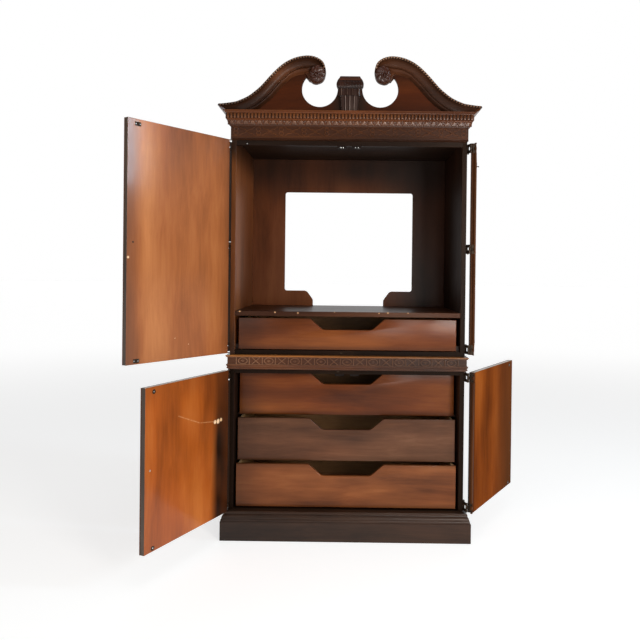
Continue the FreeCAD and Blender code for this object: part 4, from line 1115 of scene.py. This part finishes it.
# top and bottom faces of the door slabs: end grain, tinted much lighter as a painted highlight
edge_top = wood("door_end_grain_and_highlight", lin(92, 76, 58), lin(142, 124, 100), lin(178, 162, 138), "X", (0.4, 2.3, 5.4),
                tone=0.4, figure=0.0, streak=0.5, pore=0.2, rough=0.36, coat=0.5, coat_rough=0.2)
for dn, (sgn, ang, z0, tall) in DOORS.items():
    turn = math.radians(ang * (-1 if sgn > 0 else 1))
    px = -PX * sgn
    pin = (px * 0.001, PY * 0.001, z0 * 0.001)
    M = Matrix.Translation(Vector(pin)) @ Matrix.Rotation(turn, 4, "Z")
    Mi = M.inverted()
    R3 = M.to_3x3().inverted()
    sp, sc, sh = [], [], []
    spot = lambda d, zz, r, tint, hard=0.7: sp.append(((sgn * (E + d) / 1000, 0.0245, zz / 1000), r, tint, hard))
    if dn == "upper_left_door":
        tones, seed = INNER, (0.35, 0.2, 0.15)
        spot(511, 484, 0.0045, BLACK)
        spot(533, 424, 0.0055, lin(226, 190, 150))
        spot(300, 90, 0.002, lin(220, 180, 140))
        spot(228, 60, 0.002, lin(220, 180, 140))
        # painted shade and painted reflection tone: a darker, greyer band along the free edge; the door is also darker
        # towards the hinge
        sh = [("X", 0.475, 0.548, 0.6, lin(96, 60, 44)), ("X", 0.10, 0.014, 0.3, lin(84, 46, 26))]
    elif dn == "lower_left_door":
        tones, seed = INNER_LOW, (1.35, 0.2, 2.15)
        # painted shadow: near-black towards the hinge, as if cast by the drawers; the top of the door is tinted a
        # little darker
        sh = [("X", 0.150, 0.085, 0.96, lin(30, 16, 8)), ("Z", 0.54, 0.64, 0.3, lin(110, 56, 24))]
        spot(510, 320, 0.0045, lin(230, 215, 195))
        spot(98, 428, 0.010, lin(240, 205, 165), 0.4)
        spot(76, 427, 0.012, lin(240, 205, 165), 0.4)
        spot(54, 430, 0.009, lin(226, 186, 140), 0.4)
        sc = [((sgn * (E + 348) / 1000, 0.502), (sgn * (E + 271) / 1000, 0.471), 0.003, lin(214, 160, 110), 0.5),
              ((sgn * (E + 271) / 1000, 0.471), (sgn * (E + 204) / 1000, 0.445), 0.003, lin(214, 160, 110), 0.5),
              ((sgn * (E + 204) / 1000, 0.445), (sgn * (E + 98) / 1000, 0.430), 0.0022, lin(204, 150, 100), 0.6)]
    elif dn == "upper_right_door":
        tones, seed = INNER_RIGHT, (3.35, 1.2, 0.15)
        sh = [("X", -0.20, -0.50, 0.5, lin(74, 42, 20))]
    else:
        tones, seed = INNER_RED, (5.35, 1.2, 4.15)
        sh = [("X", -0.20, -0.50, 0.75, lin(74, 42, 20)), ("X", -0.032, -0.022, 0.8, lin(40, 26, 17))]
    face = veneer(dn + "_inner_veneer", sgn, turn, pin, seed, tones, spots=sp, scratch=sc, shade=sh,
                  tone=0.74, figure=0.34, streak=0.31, pore=0.10, rough=0.34, coat=0.45 if "left" in dn else 0.03,
                  coat_rough=0.13, ripple=0.12, spec=0.12 if "left" in dn else 0.0)
    # outer veneer: painted shade tinted into the recessed moulding by depth; its outermost side face is darkened to
    # match the edges
    outer = veneer(dn + "_outer_veneer", sgn, turn, pin, (seed[0] + 3, seed[1], seed[2]),
                   (lin(64, 30, 14), lin(118, 62, 30), lin(152, 88, 46)), tone=0.5, figure=0.4, coat=0.5, coat_rough=0.14,
                   shade=(("X", sgn * 0.0148, sgn * 0.0134, 0.95, lin(30, 20, 14)),),
                   glaze=(((0.0, 1.0, 0.0), 0.0016, 0.0050, 0.7, lin(34, 18, 10)),), ripple=0.06)
    o = soften(dn + "_slab", 0.0016, 3)

    def pick(nr, c, R3=R3, outer_only=None):
        q = R3 @ nr
        return 0 if q.y > 0.7 else (1 if q.y < -0.7 else (3 if abs(q.z) > 0.7 else 2))

    split_faces(o, pick, [face, outer, edge_dark if "left" in dn else edge_brown, edge_top])

    # outer face: stiles and rails with a moulded inner edge round a raised field
    def frame_ring(loops):
        """Rings of rectangles (inset, y), from the outer edge inwards."""
        rings = []
        for inset, y in loops:
            rings.append([(sgn * (E + inset), y, inset), (sgn * (E + W - inset), y, inset),
                          (sgn * (E + W - inset), y, tall - inset), (sgn * (E + inset), y, tall - inset)])
        v, f = [], []
        for r in rings:
            v += r
        for i in range(len(rings)):
            a, b = i * 4, ((i + 1) % len(rings)) * 4
            for j in range(4):
                k = (j + 1) % 4
                f.append((a + j, a + k, b + k, b + j))
        return v, f

    stile = [(0.0, 6.0), (0.0, 1.6), (0.5, 0.6), (1.6, 0.0), (56.0, 0.0), (57.0, 0.4), (57.4, 1.4)]
    stile += [(57.4 + 9.0 * math.sin(math.pi / 2 * i / 6), 1.4 + 2.4 * (1 - math.cos(math.pi / 2 * i / 6))) for i in range(1, 7)]
    stile += [(67.4, 3.8), (67.6, 3.0)]
    stile += [(67.6 + 5.6 * i / 6, 3.0 - 1.5 * math.sin(math.pi * i / 6) + 2.2 * i / 6) for i in range(1, 6)]
    stile += [(74.0, 5.6), (74.0, 6.0)]
    field = [(104.0, 6.0), (104.0, 5.4)]
    ring = frame_ring(stile)
    fld = []
    fr = [(88.0, 6.0), (88.0, 5.2)] + [(88.0 + 30.0 * i / 6, 5.2 - 2.6 * math.sin(math.pi / 2 * i / 6)) for i in range(1, 7)] + [(118.6, 2.2), (119.6, 1.3), (121.0, 1.0)]
    rings = [[(sgn * (E + a), y, a), (sgn * (E + W - a), y, a), (sgn * (E + W - a), y, tall - a), (sgn * (E + a), y, tall - a)]
             for a, y in fr]
    fld = loft(rings)
    make(dn + "_frame_and_field", *merge([ring, fld]), outer, body=dn, matrix=M, replaces=(dn + "_moulding",), angle=30)

    # stop bead beside the slab's hinge edge, left out where the frame's hinge arms are
    hz = (4, tall / 2 - 21, tall - 46) if tall > 800 else (4, tall - 46)
    cuts = [0.0]
    for h0 in hz:
        cuts += [h0 - 0.7, h0 + 14.4, h0 + 27.6, h0 + 42.7]
    cuts.append(tall)
    runs = [(c0, c1) for c0, c1 in zip(cuts[::2], cuts[1::2]) if c1 - c0 > 3]
    sec = [(13.4, 17.2), (3.0, 17.2), (1.4, 18.0), (0.6, 19.4), (0.4, 24.6), (0.9, 25.9), (2.2, 26.6), (9.6, 26.6), (10.7, 26.0),
           (11.2, 24.8), (13.4, 24.3)]
    bead = [loft([[(sgn * a, min(y, 26.2) if r[1] - r[0] < 20 else y, zz) for a, y in sec] for zz in r]) for r in runs]
    make(dn + "_stop_bead", *merge(bead), bead_dark if "left" in dn else edge_brown, body=dn, matrix=M, slot="dark_mahogany", angle=50)

    # catch plates on the inner face, each with two screws
    pl, scr = [], []
    for zz in {"upper_left_door": (tall - 20.0, 14.0), "upper_right_door": (tall - 20.0,)}.get(dn, ()):
        c = E + 492.0
        pl.append(plate([(c - 14, zz - 8), (c + 14, zz - 8), (c + 14, zz + 8), (c - 14, zz + 8)], 24.2, 25.3, 0.5, 3))
        pl.append(plate([(c - 4, zz - 5), (c + 4, zz - 5), (c + 4, zz + 5), (c - 4, zz + 5)], 25.0, 25.8, 0.5, 3))
        for k in (-9.5, 9.5):
            sv, sf = lathe([(0.3, 25.8), (1.8, 25.75), (2.6, 25.5), (2.8, 25.0)], 16)
            scr.append(([(x + c + k, y, q + zz) for x, y, q in sv], sf))
    flip = lambda m_: ([(sgn * x, y, zz) for x, y, zz in m_[0]], m_[1])
    if pl:
        make(dn + "_catch_plates", *flip(merge(pl)), bronze, body=dn, matrix=M, slot="steel")
        make(dn + "_catch_plate_screws", *flip(merge(scr)), steel, body=dn, matrix=M, slot="steel")

    # small screws in the middle of the round strike plates
    scr = []
    for zz in {"upper_right_door": (14.0,), "upper_left_door": ()}.get(dn, (tall - 20.0, 14.0)):
        sv, sf = lathe([(0.3, 25.75), (1.7, 25.7), (2.6, 25.5), (2.8, 25.1)], 16)
        scr.append(([(x + E + 492.0, y, q + zz) for x, y, q in sv], sf))
    if scr:
        make(dn + "_strike_screws", *flip(merge(scr)), bright if "left" in dn else steel, body=dn, matrix=M, slot="steel")
    if dn == "upper_right_door":
        # a short stud stands out of this door's inner face
        sv, sf = lathe([(0.4, 36.2), (2.2, 36.0), (3.1, 34.8), (3.3, 33.0), (2.6, 31.4), (2.2, 30.4), (2.2, 26.6), (3.0, 26.2), (3.4, 25.4),
                        (3.5, 24.3)], 20)
        make(dn + "_stud", [(sgn * (x + E + 492.0), y, q + 938.0) for x, y, q in sv], sf, bronze, body=dn, matrix=M, slot="steel")

    # turned pull with its back plate
    knob = [(0.4, -23.0), (5.0, -22.8), (9.5, -21.6), (12.2, -19.4), (13.0, -17.0), (12.6, -15.0), (11.0, -13.2), (8.0, -12.0),
            (5.6, -10.8), (4.9, -8.6), (4.9, -6.4), (6.0, -4.6), (7.8, -3.6), (8.4, -3.0), (9.6, -3.2), (12.6, -2.5),
            (13.6, -2.0), (14.4, -2.4), (16.2, -2.0), (17.0, -1.0), (17.0, 0.0)]
    kv, kf = lathe(knob, 40)
    kv = [(x + sgn * (E + 490.0), y, zz + tall / 2) for x, y, zz in kv]
    make(dn + "_turned_pull", kv, kf, brass, body=dn, matrix=M, replaces=(dn + "_pull",), angle=40)
    paint(soften(dn + "_fittings", 0.0003), [bronze])
    # screw of the pull, seen on the inner face
    sv, sf = lathe([(0.3, 25.3), (2.4, 25.2), (3.7, 24.9), (3.9, 24.3)], 20)
    sv = [(x + sgn * (E + 511.0), y, zz + (484.0 if tall > 800 else 320.0)) for x, y, zz in sv]
    make(dn + "_pull_screw", sv, sf, steel if dn == "lower_left_door" else bronze, body=dn, matrix=M,
         slot="steel")

# cranked part of the frame's hinge leaves, beside the case
wing = []
for z0, tall in ((854.0, 970.0), (132.0, 644.0)):
    for h0 in ((4, tall / 2 - 21, tall - 46) if tall > 800 else (4, tall - 46)):
        zz = z0 + h0
        for s in (-1, 1):
            prof = [(544.0, -247.0), (551.6, -247.0), (552.4, -246.2), (552.4, -238.0), (551.6, -237.2), (544.0, -237.2)]
            wing.append(loft([[(s * x, y, q) for x, y in prof] for q in (zz + 0.4, zz + 41.6)]))
make("hinge_cranked_leaves", *merge(wing), bronze, slot="steel")

# ------------------------------------------------------------------ drawers
DRAWERS = {
    "upper_drawer": (502.0, 144.0, -257.0, 868.0, 470.0, -2.7),
    "top_drawer": (508.0, 197.0, -172.0, 550.0, 430.0, 3.0),
    "middle_drawer": (508.0, 197.0, -219.0, 345.0, 430.0, 3.0),
    "bottom_drawer": (508.0, 197.0, -256.0, 140.0, 430.0, 3.0),
}


def scoop_loop(half, tall):
    """Front outline with the finger scoop, as in the CAD, x and z from its lower middle."""
    st, sl, sd = 173.0, 113.0, 52.0
    ang = math.degrees(math.atan2(sd, st - sl))
    r1, r2 = 14.0, 34.0
    t1, t2 = r1 * math.tan(math.radians(ang) / 2), r2 * math.tan(math.radians(ang) / 2)
    pts = [(-half, 0), (half, 0), (half, tall)]
    right = arc(st + t1, tall - r1, r1, 90, 90 + ang, 8)
    low = arc(sl - t2, tall - sd + r2, r2, -90 + ang, -90, 10)
    seq = [(x, zz) for x, zz in right] + [(x, zz) for x, zz in low]
    pts += seq + [(-x, zz) for x, zz in reversed(seq)] + [(-half, tall)]
    return pts


for i, (dn, (half, tall, y0, z0, deep, lift)) in enumerate(DRAWERS.items()):
    fx = half / 1000
    # the bottom drawer, furthest out, has lighter tones for the light it catches: painted light; the middle drawer's
    # greyer tones are a painted sheen
    tones = {"upper_drawer": (lin(47, 21, 7), lin(97, 48, 18), lin(136, 76, 34)),
             "middle_drawer": (lin(47, 28, 18), lin(100, 65, 44), lin(142, 100, 74)),
             "bottom_drawer": (lin(58, 29, 12), lin(126, 71, 36), lin(166, 105, 58))}.get(
                 dn, (lin(44, 19, 5), lin(100, 50, 17), lin(140, 78, 31)))
    face = wood(dn + "_veneer", *tones, "X", (1.7 * i, 0.9 * i, 2.3 * i), tone=0.85, figure=0.30, streak=0.34,
                pore=0.15, rough=0.42, coat=0.32, coat_rough=0.19, ripple=0.12, spec=0.03,
                # darker towards the left end and along the top and bottom edges: painted shade, partly dark edges of
                # the finish
                shade=(("X", -fx + 0.16, -fx, 0.5, lin(46, 24, 13)), ("Z", z0 * 0.001 + 0.03, z0 * 0.001, 0.4, lin(40, 22, 13)),
                       ("Z", (z0 + tall - 22) * 0.001, (z0 + tall) * 0.001, 0.35, lin(40, 22, 13))))
    v, f = plate([(x, zz + z0) for x, zz in scoop_loop(half, tall)], y0, y0 + 19.0, 2.2, 4)
    make(dn + "_scooped_front", v, f, face, body=dn, replaces=(dn + "_front",), angle=32)
    # the top faces of the box sides take the painted highlight
    split_faces(soften(dn + "_box", 0.0012),
                lambda nr, c, y0=y0, deep=deep: 1 if c.y * 1000 > y0 + 19 + deep - 12.5 else (2 if nr.z > 0.7 else 0),
                [pale, pale_x, pale_top])
    paint(NODES[dn + "_bottom"], [pale_x])

# ------------------------------------------------------------------ small fittings
small = []
for x, zz, y in ((-34.5, 1800.5, -259.0), (34.5, 1800.5, -259.0)):
    for k in (-6.2, 6.2):
        v, f = lathe([(0.4, -0.22), (1.9, -0.20), (2.8, -0.05), (3.0, 0.6)], 16)
        small.append(([(a + x + k, b + y, c + zz + 1.0) for a, b, c in v], f))
v, f = lathe([(0.4, -1.32), (1.6, -1.28), (2.4, -1.1), (2.5, -0.4)], 16)
small.append(([(a - 470.0, b + F, c + 1815.0) for a, b, c in v], f))
make("catch_screw_heads", *merge(small), bright, slot="steel")
v, f = lathe([(2.6, -1.15), (5.4, -1.05), (6.6, -0.7), (7.2, -0.1), (7.4, 0.8)], 24)
make("rail_bumper", [(a - 470.0, b + F, c + 1815.0) for a, b, c in v], f, catch_box, slot="steel")
plates = []
for x, zz, y in ((-28.0, 854.0, -260.0), (-41.0, 768.0, -260.0)):
    v, f = plate([(x - 5, zz - 2.2), (x + 5, zz - 2.2), (x + 5, zz + 2.2), (x - 5, zz + 2.2)], y - 0.8, y + 0.2, 0.4, 2)
    plates.append((v, f))
make("rail_plates", *merge(plates), bronze, slot="steel")

# ------------------------------------------------------------------ room, light, camera


def stage_mat(name, color, rough):
    m = Mat(name)
    n = m.noise(m.obj(), 1.2, 2.0, 0.5)
    col = m.mix(m.span(n, 0.3, 0.7, 0.0, 0.04), color, tuple(c * 0.94 for c in color))
    m.set(Base_Color=col, Roughness=rough)
    m.b.inputs["Specular IOR Level"].default_value = 0.15
    m.b.inputs["Emission Color"].default_value = (1, 1, 1, 1)
    # the sweep glows a little more where the lamps no longer reach it
    m.put(m.b.inputs["Emission Strength"], m.span(m.vmath("LENGTH", m.obj()), 2.5, 9.0, 0.66, 0.83, smooth=True))
    return m.m


me = bpy.data.meshes.new("floor")
S = 60.0
me.from_pydata([(-S, -S, 0), (S, -S, 0), (S, S, 0), (-S, S, 0)], [], [(0, 1, 2, 3)])
floor = bpy.data.objects.new("floor", me)
bpy.context.scene.collection.objects.link(floor)
floor.location.z = -0.0002
me.materials.append(stage_mat("pale_floor", (0.56, 0.56, 0.555), 0.7))

world = bpy.data.worlds.new("studio")
bpy.context.scene.world = world
world.use_nodes = True
wt = world.node_tree
bg = wt.nodes["Background"]
bg.inputs[1].default_value = 1.0
# a white sweep behind the object and a dimmer room in front of it
wc = wt.nodes.new("ShaderNodeTexCoord")
wx = wt.nodes.new("ShaderNodeSeparateXYZ")
wt.links.new(wc.outputs["Generated"], wx.inputs[0])
wr = wt.nodes.new("ShaderNodeMapRange")
wr.interpolation_type = "SMOOTHSTEP"
wt.links.new(wx.outputs[1], wr.inputs[0])
for i, q in enumerate((0.62, 0.83, 0.14, 1.0)):
    wr.inputs[i + 1].default_value = q
wu = wt.nodes.new("ShaderNodeMapRange")
wt.links.new(wx.outputs[2], wu.inputs[0])
for i, q in enumerate((0.35, 1.0, 0.0, 0.20)):
    wu.inputs[i + 1].default_value = q
wm = wt.nodes.new("ShaderNodeMath")
wm.operation = "MAXIMUM"
wt.links.new(wr.outputs[0], wm.inputs[0])
wt.links.new(wu.outputs[0], wm.inputs[1])
# what the camera sees past the object is the white sweep all round
wl = wt.nodes.new("ShaderNodeLightPath")
wk = wt.nodes.new("ShaderNodeMath")
wk.operation = "MAXIMUM"
wt.links.new(wm.outputs[0], wk.inputs[0])
wt.links.new(wl.outputs["Is Camera Ray"], wk.inputs[1])
wt.links.new(wk.outputs[0], bg.inputs[0])


def area(name, loc, target, size, power, color=(1, 1, 1), size_y=None):
    li = bpy.data.lights.new(name, "AREA")
    li.energy = power
    li.size = size
    if size_y:
        li.shape = "RECTANGLE"
        li.size_y = size_y
    li.color = color
    o = bpy.data.objects.new(name, li)
    bpy.context.scene.collection.objects.link(o)
    o.location = loc
    o.rotation_euler = (Vector(target) - Vector(loc)).to_track_quat("-Z", "Y").to_euler()
    return o


area("key", (1.55, -3.3, 1.45), (-0.2, -0.2, 1.1), 0.9, 66, (1.0, 0.96, 0.90), 1.3)
area("card", (0.62, -3.75, 1.05), (0.1, -0.3, 1.0), 0.5, 11, (1.0, 0.97, 0.93), 0.8)
area("fill", (-1.7, -3.4, 1.7), (0.2, -0.2, 1.2), 1.5, 13, (1.0, 0.98, 0.95), 1.5)
area("window", (4.2, -1.02, 2.75), (-0.8, -0.7, 1.9), 0.5, 56, (0.68, 0.85, 1.0), 1.2)
area("top", (0.2, -1.2, 4.4), (0.0, -0.2, 1.4), 2.2, 22)

cam_data = bpy.data.cameras.new("camera")
cam = bpy.data.objects.new("camera", cam_data)
bpy.context.scene.collection.objects.link(cam)
cam_data.sensor_width = 36.0
cam_data.sensor_fit = "HORIZONTAL"
cam_data.lens = 674.0 / 640.0 * 36.0
cam_data.shift_x = (320.0 - 346.05) / 640.0
cam_data.shift_y = (274.95 - 320.0) / 640.0
cam_data.clip_end = 200.0
yaw, pitch, rollc = math.radians(0.296), math.radians(-0.358), math.radians(0.646)
R = (Matrix.Rotation(yaw, 3, "Z") @ Matrix.Rotation(pitch, 3, "X"))
right, fwd, up = R.col[0].copy(), R.col[1].copy(), R.col[2].copy()
xa = right * math.cos(rollc) + up * math.sin(rollc)
ya = up * math.cos(rollc) - right * math.sin(rollc)
m4 = Matrix.Identity(4)
for i in range(3):
    m4[i][0], m4[i][1], m4[i][2] = xa[i], ya[i], -fwd[i]
m4[0][3], m4[1][3], m4[2][3] = 0.0071, -3.3653, 1.2343
cam.matrix_world = m4
bpy.context.scene.camera = cam
bpy.context.scene.view_settings.view_transform = "Standard"
bpy.context.scene.view_settings.look = "None"
bpy.context.scene.view_settings.exposure = 0.0
